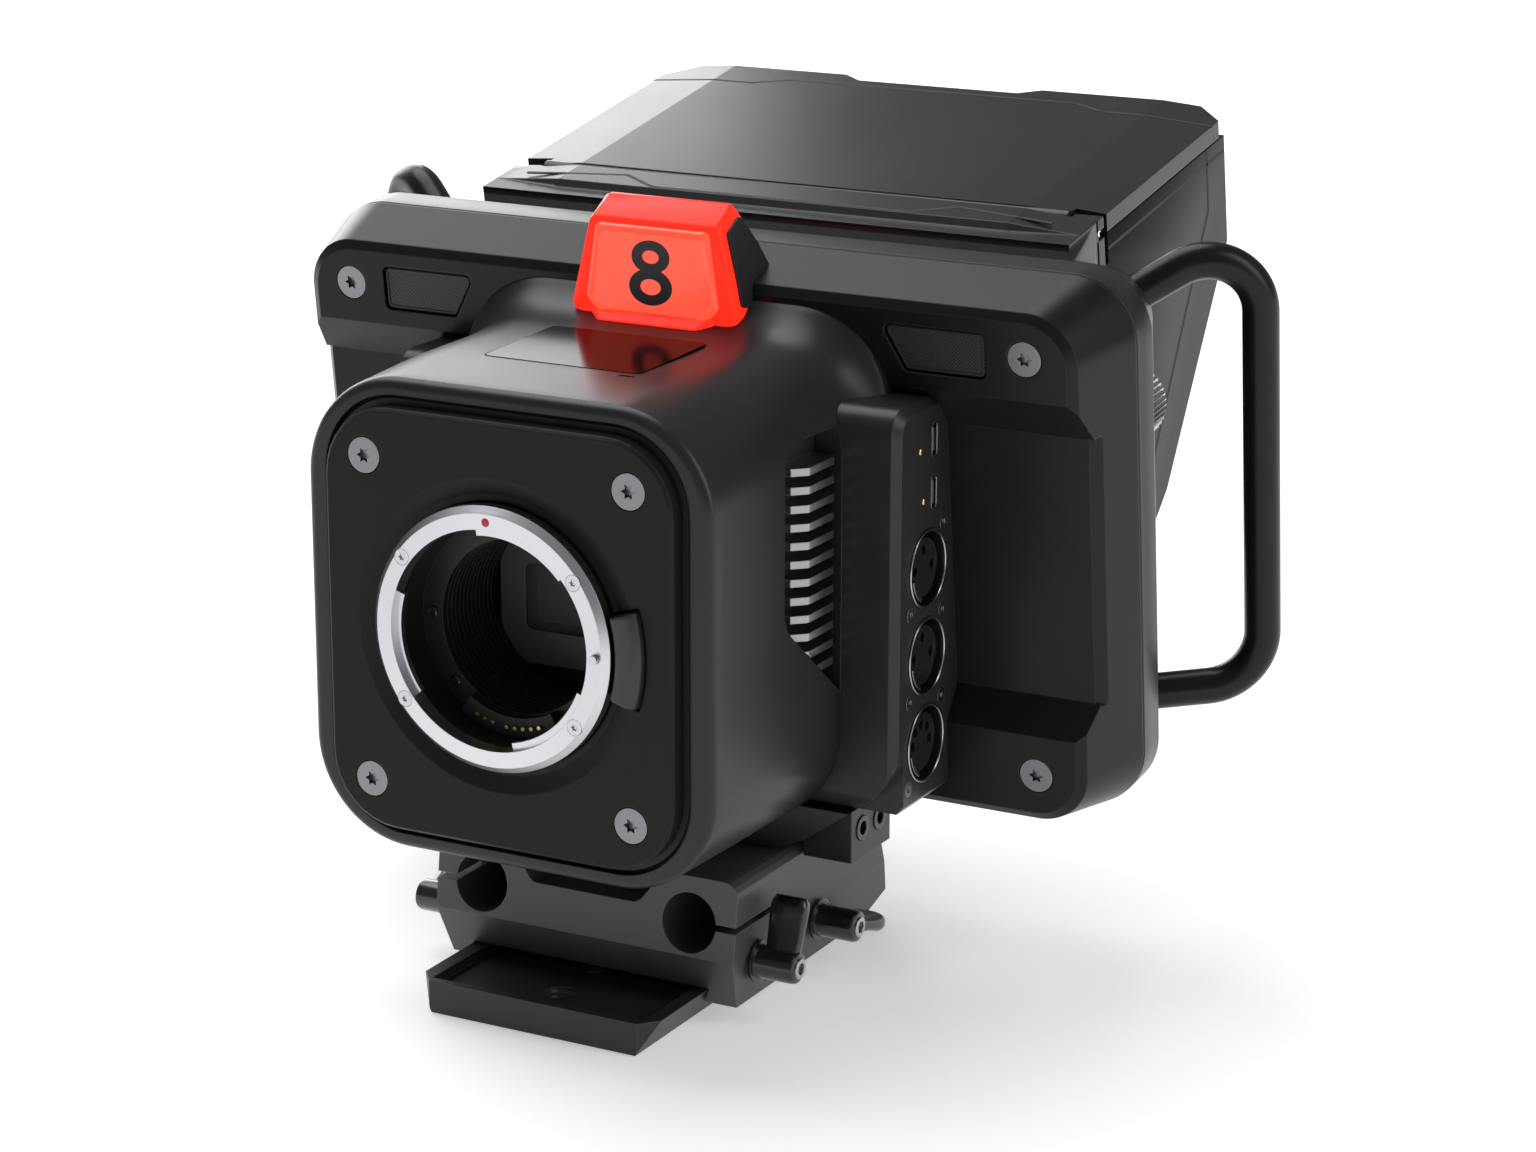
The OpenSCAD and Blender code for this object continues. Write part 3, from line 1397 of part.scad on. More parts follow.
module hood_pins() color("#8f9194") at_hood() mirrored() {
    translate([0, hinge_y, -hood_edge_drop - hinge_d / 2])
        rod_x(hinge_pin_d, hinge_half - lug_w, hinge_half + lug_w);
    translate([side_hinge_x, hinge_y, -side_hinge_top - lug_w])
        cylinder(d = hinge_pin_d, h = 2 * lug_w - hinge_gap);
    translate([side_hinge_x, hinge_y, -side_bottom])
        cylinder(d = hinge_pin_d, h = 2 * lug_w - hinge_gap);
}

// Base and tripod plate

dovetail_share = (plate_top_w - plate_bottom_w) / 2 / plate_h_total;

base_right = [[base_notch_x, base_notch_z], [base_notch_top_x, base_top],
    [base_side_x, base_top], [base_side_x, base_side_z], [base_bottom_x, base_bottom]];
base_right_radii = [base_notch_r, base_notch_r, base_shoulder_r, 0, 0];

module base_outline() polygon(rounded_path(
    concat(base_right, [for (i = [4:-1:0]) [-base_right[i][0], base_right[i][1]]]),
    concat(base_right_radii, [for (i = [4:-1:0]) base_right_radii[i]])));

module dovetail(z0, z1, gap) polygon([
    [-dovetail_half(z0) - gap, z0], [dovetail_half(z0) + gap, z0],
    [dovetail_half(z1) + gap, z1], [-dovetail_half(z1) - gap, z1]]);

function dovetail_half(z) = plate_top_w / 2 - (plate_top_z - z) * dovetail_share;

// Side view of the base: a level top that falls away to the rear
module base_profile() polygon([[base_front, base_top], [rear_slope_y, base_top],
    [base_front + base_len - rear_face_lean, rear_slope_z],
    [base_front + base_len, base_bottom + base_heel_h],
    [base_front + base_len - base_heel_len, base_bottom], [base_front + base_chin, base_bottom],
    [base_front - base_lip, base_lip_z]]);

module base_mount() color("#4b4d50") at_lens() difference() {
    union() {
        intersection() {
            slab(base_front - base_lip, base_front + base_len) base_outline();
            side_slab(-far, far) base_profile();
        }
        block([-riser_w / 2, riser_front, base_notch_z - ov],
            [riser_w / 2, pod_front, body_bottom()]);
        block([-riser_w / 2, riser_front, base_notch_z - ov],
            [riser_w / 2, riser_rear, base_top]);
    }
    slab(base_front - base_lip - ov, base_front + base_len + ov)
        dovetail(base_bottom - ov, plate_top_z + plate_gap, plate_gap);
    for (s = [-1, 1])
        translate([s * rod_spacing / 2, 0, -rod_drop])
            rod_y(rod_d + 2 * rod_gap, base_front - base_lip - ov, base_front + rod_depth);
    mirrored() block([rod_spacing / 2, base_front - base_lip - ov, -rod_drop - rod_slit / 2],
        [base_side_x + ov, lever_y + lever_hub_d, -rod_drop + rod_slit / 2]);
    for (s = [-1, 1])
        translate([0, lever_y, lever_z]) rotate([0, 0, s < 0 ? 180 : 0])
            rod_x(lever_screw_d + 2 * run_gap, plate_top_w / 2 + plate_rim, base_side_x + ov);
    translate([0, plate_lever_y, lever_z])
        rod_x(lever_screw_d + 2 * run_gap, plate_top_w / 2 + plate_rim, base_side_x + ov);
}

// A wing lever on a clamp screw: hub along X from 0, wing pointing up
module wing_lever() {
    difference() {
        union() {
            rod_x(lever_boss_d, seat_gap, seat_gap + lever_boss_len);
            rod_x(lever_hub_d, seat_gap, lever_hub_len);
            rod_x(lever_screw_d, -plate_rim, lever_hub_len + lever_screw_out);
        }
        side_slab(lever_hub_len - ov, lever_hub_len + far) circle(d = lever_hex_d, $fn = 6);
    }
    difference() {
        union() {
            block([2 * lever_boss_len, -lever_wing_t / 2, 0],
                [2 * lever_boss_len + lever_wing_w, lever_wing_t / 2, lever_wing_len]);
            translate([0, 0, lever_wing_len])
                rod_x(lever_wing_t, 2 * lever_boss_len, 2 * lever_boss_len + lever_wing_w);
        }
        rod_x(lever_hub_d - ov, 0, lever_hub_len + ov);
    }
}

module rod_lever_right() color("#161617") at_lens() translate([base_side_x, lever_y, lever_z])
    rotate([lever_right_angle, 0, 0]) wing_lever();

module rod_lever_left() color("#161617") at_lens() translate([-base_side_x, lever_y, lever_z])
    rotate([lever_left_angle, 0, 0]) mirror([1, 0, 0]) wing_lever();

module plate_lever() color("#161617") at_lens() translate([base_side_x, plate_lever_y, lever_z])
    rotate([lever_plate_angle, 0, 0]) wing_lever();

module tripod_plate() color("#242527") at_lens() difference() {
    slab(plate_front, plate_front + plate_len)
        dovetail(plate_top_z - plate_h_total, plate_top_z, 0);
    block([plate_rim - plate_top_w / 2, plate_front + plate_rim / 2, plate_top_z - plate_h_total
        + plate_floor], [plate_top_w / 2 - plate_rim, plate_front + plate_len + ov,
        plate_top_z + ov]);
    translate([0, thread_setback, -axis_height - ov])
        cylinder(d = tripod_bore_d, h = plate_h_total + 2 * ov);
    translate([0, thread_setback + small_thread_setback, -axis_height - ov])
        cylinder(d = small_bore_d, h = plate_h_total + 2 * ov);
    for (s = [-1, 1])
        translate([s * stop_hole_x, stop_hole_y, plate_top_z - plate_h_total / 2])
            cylinder(d = stop_hole_d, h = plate_h_total);
    mirrored() translate([0, 0, -axis_height - ov]) linear_extrude(plate_h_total + 2 * ov)
        polygon([[plate_top_w / 2 - plate_chamfer, plate_front - ov],
            [plate_top_w / 2 + ov, plate_front - ov],
            [plate_top_w / 2 + ov, plate_front + plate_chamfer + ov]]);
}

body_shell();
front_plate();
plate_gasket();
front_plate_screws();
lens_ring();
lens_ring_screws();
throat_liner();
contact_block();
contact_pins();
release_button();
lock_pin();
filter_frame();
filter_glass();
image_sensor();
sensor_board();
top_window();
tally_base();
tally_lens();
tally_led_board();
heat_sink_right();
heat_sink_left();
fan_frame();
fan_rotor();
main_board();
right_pod();
xlr_sockets();
xlr_latch(0);  // xlr_latch_top
xlr_latch(1);  // xlr_latch_middle
xlr_latch(2);  // xlr_latch_bottom
usb_sockets();
right_pod_screws();
left_pod();
bnc_sockets();
hdmi_socket();
power_socket();
audio_jacks();
housing_front();
housing_rear();
housing_screws();
mic_grilles();
lcd_panel();
lcd_glass();
thumb_dial();
rear_button(0);  // rear_button_1
rear_button(1);  // rear_button_2
rear_button(2);  // rear_button_3
rear_button(3);  // rear_button_4
rear_button(4);  // rear_button_5
handle_right();
handle_left();
hood_frame();
hood_top();
hood_right();
hood_left();
hood_pins();
base_mount();
rod_lever_right();
rod_lever_left();
plate_lever();
tripod_plate();
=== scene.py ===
"""Looks for the studio camera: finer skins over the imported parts, procedural materials, studio."""
import json
import math

import bmesh
import bpy
from mathutils import Matrix, Vector


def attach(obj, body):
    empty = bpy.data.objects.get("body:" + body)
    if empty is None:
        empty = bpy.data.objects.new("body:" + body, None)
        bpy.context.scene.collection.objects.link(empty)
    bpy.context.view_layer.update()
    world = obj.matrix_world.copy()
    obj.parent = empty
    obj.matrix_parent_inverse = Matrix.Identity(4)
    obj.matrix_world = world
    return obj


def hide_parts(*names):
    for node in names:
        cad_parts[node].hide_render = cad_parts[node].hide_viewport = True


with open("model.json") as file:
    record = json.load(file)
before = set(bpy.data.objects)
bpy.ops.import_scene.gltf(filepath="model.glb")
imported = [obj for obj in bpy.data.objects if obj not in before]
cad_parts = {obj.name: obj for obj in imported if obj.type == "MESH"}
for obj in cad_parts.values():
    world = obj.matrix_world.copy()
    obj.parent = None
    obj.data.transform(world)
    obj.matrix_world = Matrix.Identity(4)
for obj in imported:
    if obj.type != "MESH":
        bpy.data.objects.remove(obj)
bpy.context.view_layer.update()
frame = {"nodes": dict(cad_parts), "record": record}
NODES = frame["nodes"]

# Frames, in millimetres

MM = Matrix.Scale(0.001, 4)
LENS = Matrix.Translation((0, -0.031, 0.105)) @ MM
HOUSING = LENS @ Matrix.Translation((0, 95.3, 0)) @ Matrix.Rotation(math.radians(6.6), 4, "X")
HOOD = HOUSING @ Matrix.Translation((0, 60, 76.3)) @ Matrix.Rotation(math.radians(3.5), 4, "X")
MIRROR = Matrix.Scale(-1, 4, (1, 0, 0))

# Materials

MOTTLE_SCALE = 42.0
GRAIN_HEIGHT = 0.0001
# Where the lighter edges, partly wear and partly a painted highlight, begin and reach full strength
WEAR_AND_HIGHLIGHT_STARTS, WEAR_AND_HIGHLIGHT_FULL = 0.985, 0.8  # cosine between the softened and the flat normal


def link(tree, a, b):
    tree.links.new(a, b)


def add(tree, kind, **values):
    node = tree.nodes.new(kind)
    for key, value in values.items():
        if key in node.inputs:
            node.inputs[key].default_value = value
        else:
            setattr(node, key.lower(), value)
    return node


def surface(name, color, rough=0.4, metal=0.0, grain=0.1, grain_scale=2600.0, mottle=0.12,
            edge=0.0004, wear_and_highlight=0.0, wear_and_highlight_color=(0.3, 0.3, 0.31), smear=0.06, coat=0.0,
            coat_rough=0.1, specular=0.5, emission=None, strength=0.0, alpha=1.0, aniso=0.0):
    """A procedural finish: mottled colour, uneven gloss, fine grain, softened edges drawn lighter as
    wear and as a painted edge highlight.
    """
    m = bpy.data.materials.new(name)
    m.use_nodes = True
    t = m.node_tree
    b = t.nodes["Principled BSDF"]
    b.inputs["Metallic"].default_value = metal
    b.inputs["Coat Weight"].default_value = coat
    b.inputs["Coat Roughness"].default_value = coat_rough
    b.inputs["Specular IOR Level"].default_value = specular
    b.inputs["IOR"].default_value = 1.5
    b.inputs["Alpha"].default_value = alpha
    b.inputs["Anisotropic"].default_value = aniso
    coord = add(t, "ShaderNodeTexCoord").outputs["Object"]
    # broad mottling drives the colour and the gloss
    broad = add(t, "ShaderNodeTexNoise", Scale=MOTTLE_SCALE, Detail=4.0, Roughness=0.6)
    link(t, coord, broad.inputs["Vector"])
    shade = add(t, "ShaderNodeMapRange")
    shade.inputs["To Min"].default_value = 1 - mottle
    shade.inputs["To Max"].default_value = 1 + mottle
    link(t, broad.outputs["Fac"], shade.inputs["Value"])
    tint = add(t, "ShaderNodeVectorMath", operation="SCALE")
    tint.inputs[0].default_value = color
    link(t, shade.outputs["Result"], tint.inputs["Scale"])
    color_out = tint.outputs[0]
    fine = add(t, "ShaderNodeTexNoise", Scale=grain_scale, Detail=2.0, Roughness=0.55)
    link(t, coord, fine.inputs["Vector"])
    gloss = add(t, "ShaderNodeMapRange")
    gloss.inputs["To Min"].default_value = max(0.02, rough - smear)
    gloss.inputs["To Max"].default_value = min(1.0, rough + smear)
    mixed = add(t, "ShaderNodeMath", operation="MULTIPLY_ADD")
    mixed.inputs[1].default_value = 0.5
    link(t, fine.outputs["Fac"], mixed.inputs[0])
    halved = add(t, "ShaderNodeMath", operation="MULTIPLY")
    halved.inputs[1].default_value = 0.5
    link(t, broad.outputs["Fac"], halved.inputs[0])
    link(t, halved.outputs[0], mixed.inputs[2])
    link(t, mixed.outputs[0], gloss.inputs["Value"])
    link(t, gloss.outputs["Result"], b.inputs["Roughness"])
    normal = None
    if edge:
        bevel = add(t, "ShaderNodeBevel", samples=4)
        bevel.inputs["Radius"].default_value = edge
        normal = bevel.outputs["Normal"]
        # Lighter colour along the edges: partly wear, partly a painted edge highlight
        if wear_and_highlight:
            flat = add(t, "ShaderNodeNewGeometry").outputs["Normal"]
            dot = add(t, "ShaderNodeVectorMath", operation="DOT_PRODUCT")
            link(t, bevel.outputs["Normal"], dot.inputs[0])
            link(t, flat, dot.inputs[1])
            ramp = add(t, "ShaderNodeMapRange")
            ramp.inputs["From Min"].default_value = WEAR_AND_HIGHLIGHT_STARTS
            ramp.inputs["From Max"].default_value = WEAR_AND_HIGHLIGHT_FULL
            ramp.inputs["To Max"].default_value = wear_and_highlight
            link(t, dot.outputs["Value"], ramp.inputs["Value"])
            mix = add(t, "ShaderNodeMix", data_type="RGBA")
            mix.inputs[7].default_value = (*wear_and_highlight_color, 1)
            link(t, ramp.outputs["Result"], mix.inputs[0])
            link(t, color_out, mix.inputs[6])
            color_out = mix.outputs[2]
    link(t, color_out, b.inputs["Base Color"])
    if grain:
        bump = add(t, "ShaderNodeBump", Strength=grain, Distance=GRAIN_HEIGHT)
        link(t, fine.outputs["Fac"], bump.inputs["Height"])
        if normal:
            link(t, normal, bump.inputs["Normal"])
        normal = bump.outputs["Normal"]
    if normal:
        link(t, normal, b.inputs["Normal"])
    if aniso:
        tangent = add(t, "ShaderNodeTangent", direction_type="RADIAL", axis="Y")
        link(t, tangent.outputs[0], b.inputs["Tangent"])
    if emission:
        b.inputs["Emission Color"].default_value = (*emission, 1)
        b.inputs["Emission Strength"].default_value = strength
    return m


def turned_metal(name, color, rough, rings, centre, metal=1.0, aniso=0.5, bump=0.12):
    """Lathe-turned metal: fine rings round an axis along Y through a point in metres."""
    m = surface(name, color, rough=rough, metal=metal, grain=0.0, edge=0.0002, aniso=aniso,
                mottle=0.05)
    t = m.node_tree
    b = t.nodes["Principled BSDF"]
    coord = add(t, "ShaderNodeTexCoord").outputs["Object"]
    moved = add(t, "ShaderNodeMapping", vector_type="POINT")
    moved.inputs["Location"].default_value = [-c for c in centre]
    moved.inputs["Scale"].default_value = (1, 0, 1)
    link(t, coord, moved.inputs["Vector"])
    length = add(t, "ShaderNodeVectorMath", operation="LENGTH")
    link(t, moved.outputs[0], length.inputs[0])
    noise = add(t, "ShaderNodeTexNoise", Scale=rings, Detail=3.0, noise_dimensions="1D")
    link(t, length.outputs["Value"], noise.inputs["W"])
    bump_node = add(t, "ShaderNodeBump", Strength=bump, Distance=0.00005)
    link(t, noise.outputs["Fac"], bump_node.inputs["Height"])
    old = b.inputs["Normal"].links[0].from_socket
    link(t, old, bump_node.inputs["Normal"])
    link(t, bump_node.outputs[0], b.inputs["Normal"])
    return m


HOLE_RIM, HOLE_FLOOR = 0.15, 0.4  # levels of the wave that draws the grilles' holes


def perforated(m, pitch=0.00095):
    """Round holes in staggered rows, pitch metres apart, as dark pits in a sheet."""
    t = m.node_tree
    b = t.nodes["Principled BSDF"]
    coord = add(t, "ShaderNodeTexCoord").outputs["Object"]
    parts = add(t, "ShaderNodeSeparateXYZ")
    link(t, coord, parts.inputs[0])
    waves = []
    for axis in ("X", "Z"):
        scaled = add(t, "ShaderNodeMath", operation="MULTIPLY")
        scaled.inputs[1].default_value = 2 * math.pi / pitch
        link(t, parts.outputs[axis], scaled.inputs[0])
        wave = add(t, "ShaderNodeMath", operation="COSINE")
        link(t, scaled.outputs[0], wave.inputs[0])
        waves.append(wave)
    product = add(t, "ShaderNodeMath", operation="MULTIPLY")
    link(t, waves[0].outputs[0], product.inputs[0])
    link(t, waves[1].outputs[0], product.inputs[1])
    hole = add(t, "ShaderNodeMapRange")
    hole.inputs["From Min"].default_value = HOLE_RIM
    hole.inputs["From Max"].default_value = HOLE_FLOOR
    link(t, product.outputs[0], hole.inputs["Value"])
    mix = add(t, "ShaderNodeMix", data_type="RGBA")
    mix.inputs[7].default_value = (0.001, 0.001, 0.001, 1)
    link(t, hole.outputs["Result"], mix.inputs[0])
    link(t, b.inputs["Base Color"].links[0].from_socket, mix.inputs[6])
    link(t, mix.outputs[2], b.inputs["Base Color"])
    bump = add(t, "ShaderNodeBump", Strength=0.6, Distance=0.0003)
    bump.invert = True
    link(t, hole.outputs["Result"], bump.inputs["Height"])
    link(t, b.inputs["Normal"].links[0].from_socket, bump.inputs["Normal"])
    link(t, bump.outputs[0], b.inputs["Normal"])
    return m


# Edges drawn lighter: partly wear, partly a painted edge highlight
WORN_AND_HIGHLIT = {"wear_and_highlight": 0.35, "wear_and_highlight_color": (0.06, 0.061, 0.065), "edge": 0.0005}
M = {
    "shell_dark": surface("shell_dark", (0.017, 0.0175, 0.0187), rough=0.33, grain=0.08,
                          specular=0.32, **WORN_AND_HIGHLIT),
    "plate_dark": surface("plate_dark", (0.012, 0.0124, 0.0132), rough=0.38, grain=0.1,
                          specular=0.14, **WORN_AND_HIGHLIT),
    "groove_black": surface("groove_black", (0.004, 0.004, 0.0045), rough=0.6, edge=0),
    "screw_steel": surface("screw_steel", (0.22, 0.225, 0.235), rough=0.32, metal=1.0, grain=0.05,
                           edge=0.0002, wear_and_highlight=0.6, wear_and_highlight_color=(0.6, 0.6, 0.62)),
    "ring_satin": turned_metal("ring_satin", (0.62, 0.63, 0.65), 0.3, 9000.0,
                               (0, -0.031, 0.105), aniso=0.55),
    "ring_screw_steel": surface("ring_screw_steel", (0.55, 0.55, 0.57), rough=0.25, metal=1.0,
                                grain=0.04, edge=0.00015),
    "baffle_black": surface("baffle_black", (0.006, 0.006, 0.0065), rough=0.5, grain=0.1,
                            edge=0.0002),
    "contact_gold": surface("contact_gold", (0.83, 0.58, 0.22), rough=0.2, metal=1.0, grain=0.03,
                            edge=0.0001),
    "button_black": surface("button_black", (0.02, 0.02, 0.022), rough=0.36, grain=0.08,
                            wear_and_highlight=0.3, wear_and_highlight_color=(0.1, 0.1, 0.1)),
    "filter_frame_grey": surface("filter_frame_grey", (0.06, 0.061, 0.063), rough=0.4, edge=0.0003,
                                 wear_and_highlight=0.6, wear_and_highlight_color=(0.25, 0.25, 0.26)),
    "filter_glass": surface("filter_glass", (0.25, 0.28, 0.29), rough=0.05, grain=0, edge=0,
                            mottle=0.02, smear=0.0, alpha=0.1, specular=0.9),
    "sensor_face": surface("sensor_face", (0.045, 0.049, 0.05), rough=0.3, grain=0, edge=0.0003,
                           mottle=0.03, wear_and_highlight=0.8, wear_and_highlight_color=(0.3, 0.3, 0.31)),
    "board_green": surface("board_green", (0.01, 0.06, 0.03), rough=0.35),
    "window_black": surface("window_black", (0.003, 0.0025, 0.003), rough=0.16, grain=0.01,
                            edge=0.0003, specular=0.05, smear=0.02),
    "tally_red": surface("tally_red", (0.6, 0.012, 0.006), rough=0.22, grain=0.01, edge=0.0004,
                         specular=0.12, emission=(1.0, 0.028, 0.012), strength=0.95, smear=0.02),
    "tally_glow": surface("tally_glow", (0.6, 0.02, 0.01), rough=0.16, grain=0.01, edge=0.0004,
                          coat=0.3, coat_rough=0.06, specular=0.3, emission=(1.0, 0.1, 0.05),
                          strength=0.92, smear=0.02),
    "tally_red_paint": surface("tally_red_paint", (0.5, 0.012, 0.012), rough=0.25, grain=0.02,
                               edge=0),
    "number_dark": surface("number_dark", (0.02, 0.021, 0.023), rough=0.35, edge=0),
    "led_white": surface("led_white", (0.8, 0.75, 0.6), rough=0.4),
    "fin_metal": surface("fin_metal", (0.33, 0.335, 0.345), rough=0.3, metal=1.0, grain=0.06,
                         edge=0.0003, wear_and_highlight=0.5, wear_and_highlight_color=(0.75, 0.76, 0.78)),
    "fan_black": surface("fan_black", (0.015, 0.015, 0.016), rough=0.5),
    "pod_dark": surface("pod_dark", (0.022, 0.0223, 0.0235), rough=0.34, grain=0.1, specular=0.3,
                        wear_and_highlight=0.4, wear_and_highlight_color=(0.09, 0.091, 0.095)),
    "socket_dark": surface("socket_dark", (0.02, 0.02, 0.022), rough=0.22, metal=0.4, grain=0.03,
                           edge=0.0003, coat=0.6),
    "socket_nickel": surface("socket_nickel", (0.5, 0.5, 0.5), rough=0.25, metal=1.0,
                             grain=0.04, edge=0.0002),
    "latch_steel": surface("latch_steel", (0.6, 0.61, 0.62), rough=0.2, metal=1.0, grain=0.05,
                           edge=0.0002),
    "jack_black": surface("jack_black", (0.012, 0.012, 0.013), rough=0.25, grain=0.03),
    "grille_metal": perforated(surface("grille_metal", (0.045, 0.045, 0.048), rough=0.45, metal=0.3,
                                       grain=0.0, edge=0.0002)),
    "lcd_back": surface("lcd_back", (0.015, 0.015, 0.016), rough=0.5),
    "lcd_face": surface("lcd_face", (0.003, 0.0035, 0.005), rough=0.05, grain=0, coat=1.0,
                        coat_rough=0.02, smear=0.01, edge=0.0003),
    "dial_metal": surface("dial_metal", (0.55, 0.56, 0.58), rough=0.25, metal=1.0, grain=0.05,
                          edge=0.0002),
    "key_grey": surface("key_grey", (0.03, 0.03, 0.033), rough=0.5, grain=0.15),
    "handle_black": surface("handle_black", (0.006, 0.006, 0.0064), rough=0.3, grain=0.08,
                            grain_scale=1800.0, edge=0, specular=0.25),
    "hood_black": surface("hood_black", (0.0165, 0.017, 0.0185), rough=0.25, grain=0.06,
                          specular=0.3, **WORN_AND_HIGHLIT),
    "pin_steel": surface("pin_steel", (0.5, 0.5, 0.52), rough=0.3, metal=1.0, grain=0.05,
                         edge=0.0002),
    "base_metal": surface("base_metal", (0.085, 0.088, 0.094), rough=0.45, metal=0.4, grain=0.16,
                          grain_scale=3200.0, wear_and_highlight=0.5, wear_and_highlight_color=(0.3, 0.3, 0.31)),
    "lever_black": surface("lever_black", (0.007, 0.007, 0.008), rough=0.24, grain=0.05,
                           coat=0.4, coat_rough=0.1, edge=0.0007),
    "plate_metal": surface("plate_metal", (0.03, 0.03, 0.032), rough=0.42, metal=0.3, grain=0.16,
                           grain_scale=3200.0, wear_and_highlight=0.5, wear_and_highlight_color=(0.25, 0.25, 0.26)),
    # Darker copy of shell_dark for the housing's front shell: painted shade
    "housing_painted_shade": surface("housing_painted_shade", (0.008, 0.0083, 0.009), rough=0.31, grain=0.08,
                            specular=0.22, wear_and_highlight=0.6, wear_and_highlight_color=(0.09, 0.091, 0.096),
                            edge=0.0006),
    # Darker copy of hood_black for the hood's side panels: painted shade
    "hood_side_painted_shade": surface("hood_side_painted_shade", (0.012, 0.0124, 0.0135), rough=0.3,
                               grain=0.06, specular=0.06, **WORN_AND_HIGHLIT),
    "pin_dark": surface("pin_dark", (0.03, 0.03, 0.032), rough=0.35, metal=0.6, edge=0.0002),
}
slots = {s["node"]: s["material_slot"] for s in frame["record"]["subparts"]}
for name, obj in NODES.items():
    for material_slot in obj.material_slots:
        material_slot.material = M[slots[name]]
NODES["hood_pins"].material_slots[0].material = M["pin_dark"]

# Mesh code


def tidy(obj, angle=32.0):
    for p in obj.data.polygons:
        p.use_smooth = True
    obj.data.set_sharp_from_angle(angle=math.radians(angle))


def mesh_piece(name, verts, faces, matrix=LENS):
    mesh = bpy.data.meshes.new(name)
    mesh.from_pydata([matrix @ Vector(v) for v in verts], [], faces)
    bm = bmesh.new()
    bm.from_mesh(mesh)
    bmesh.ops.remove_doubles(bm, verts=bm.verts, dist=1e-6)
    bmesh.ops.recalc_face_normals(bm, faces=bm.faces)
    bm.to_mesh(mesh)
    bm.free()
    obj = bpy.data.objects.new(name, mesh)
    bpy.context.scene.collection.objects.link(obj)
    return obj


def applied(obj):
    graph = bpy.context.evaluated_depsgraph_get()
    mesh = bpy.data.meshes.new_from_object(obj.evaluated_get(graph))
    obj.modifiers.clear()
    obj.data = mesh
    return obj


def cut(obj, *cutters, op="DIFFERENCE"):
    for cutter in cutters:
        mod = obj.modifiers.new("cut", "BOOLEAN")
        mod.object = cutter
        mod.operation = op
        mod.solver = "EXACT"
        applied(obj)
    for cutter in cutters:
        bpy.data.objects.remove(cutter)
    return obj


def eased(obj, width, segments=3, angle=35.0):
    """Rounds the sharp edges; width in millimetres."""
    mod = obj.modifiers.new("ease", "BEVEL")
    mod.width = width / 1000
    mod.segments = segments
    mod.limit_method = "ANGLE"
    mod.angle_limit = math.radians(angle)
    mod.harden_normals = False
    return applied(obj)


def done(obj, material, body="camera", nodes=(), angle=32.0):
    obj.data.materials.clear()
    obj.data.materials.append(M[material] if isinstance(material, str) else material)
    tidy(obj, angle)
    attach(obj, body)
    if nodes:
        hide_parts(*nodes)
    return obj


def arc(cx, cz, r, a0, a1, steps):
    return [(cx + r * math.cos(math.radians(a0 + (a1 - a0) * i / steps)),
             cz + r * math.sin(math.radians(a0 + (a1 - a0) * i / steps)))
            for i in range(steps + 1)]


def rounded_path(points, radii, steps=8):
    """The outline through points, each corner rounded to its radius."""
    out, n = [], len(points)
    for i, (p, r) in enumerate(zip(points, radii)):
        p = Vector(p)
        if r <= 0:
            out.append(tuple(p))
            continue
        u = (Vector(points[i - 1]) - p).normalized()
        v = (Vector(points[(i + 1) % n]) - p).normalized()
        half = math.acos(max(-1, min(1, u.dot(v)))) / 2
        centre = p + (u + v).normalized() * (r / math.sin(half))
        a = p + u * (r / math.tan(half)) - centre
        b = p + v * (r / math.tan(half)) - centre
        a0, a1 = math.atan2(a.y, a.x), math.atan2(b.y, b.x)
        turn = (a1 - a0 + math.pi) % (2 * math.pi) - math.pi
        out += [(centre.x + r * math.cos(a0 + turn * k / steps),
                 centre.y + r * math.sin(a0 + turn * k / steps)) for k in range(steps + 1)]
    return out


def rounded(half, top, bottom, r, steps=14):
    return (arc(half - r, top - r, r, 0, 90, steps) + arc(r - half, top - r, r, 90, 180, steps)
            + arc(r - half, bottom + r, r, 180, 270, steps)
            + arc(half - r, bottom + r, r, 270, 360, steps))


def loft(name, depths, rings, matrix=LENS, caps=True):
    n = len(rings[0])
    verts = [(x, y, z) for y, ring in zip(depths, rings) for x, z in ring]
    faces = [(i * n + j, i * n + (j + 1) % n, (i + 1) * n + (j + 1) % n, (i + 1) * n + j)
             for i in range(len(rings) - 1) for j in range(n)]
    if caps:
        faces += [tuple(reversed(range(n))), tuple(range((len(rings) - 1) * n, len(rings) * n))]
    return mesh_piece(name, verts, faces, matrix)


def prism(name, outline, lo, hi, axis="Y", matrix=LENS):
    """A flat outline of two coordinates, drawn out along one axis."""
    n = len(outline)
    place = {"Y": lambda a, b, c: (a, c, b), "X": lambda a, b, c: (c, a, b),
             "Z": lambda a, b, c: (a, b, c)}[axis]
    verts = [place(a, b, lo) for a, b in outline] + [place(a, b, hi) for a, b in outline]
    faces = [(j, (j + 1) % n, n + (j + 1) % n, n + j) for j in range(n)]
    faces += [tuple(reversed(range(n))), tuple(range(n, 2 * n))]
    return mesh_piece(name, verts, faces, matrix)


def turned(name, profile, a0=0.0, a1=360.0, steps=96, matrix=LENS, centre=(0, 0)):
    """A closed profile of (radius, depth), turned about Y."""
    full = abs(a1 - a0 - 360) < 1e-6
    count = steps if full else steps + 1
    n = len(profile)
    verts = []
    for i in range(count):
        a = math.radians(a0 + (a1 - a0) * i / steps)
        verts += [(centre[0] + r * math.cos(a), y, centre[1] + r * math.sin(a))
                  for r, y in profile]
    faces = []
    for i in range(steps):
        k = (i + 1) % count
        for j in range(n):
            m = (j + 1) % n
            faces.append((i * n + j, i * n + m, k * n + m, k * n + j))
    if not full:
        faces += [tuple(range(n)), tuple(reversed(range((count - 1) * n, count * n)))]
    return mesh_piece(name, verts, faces, matrix)


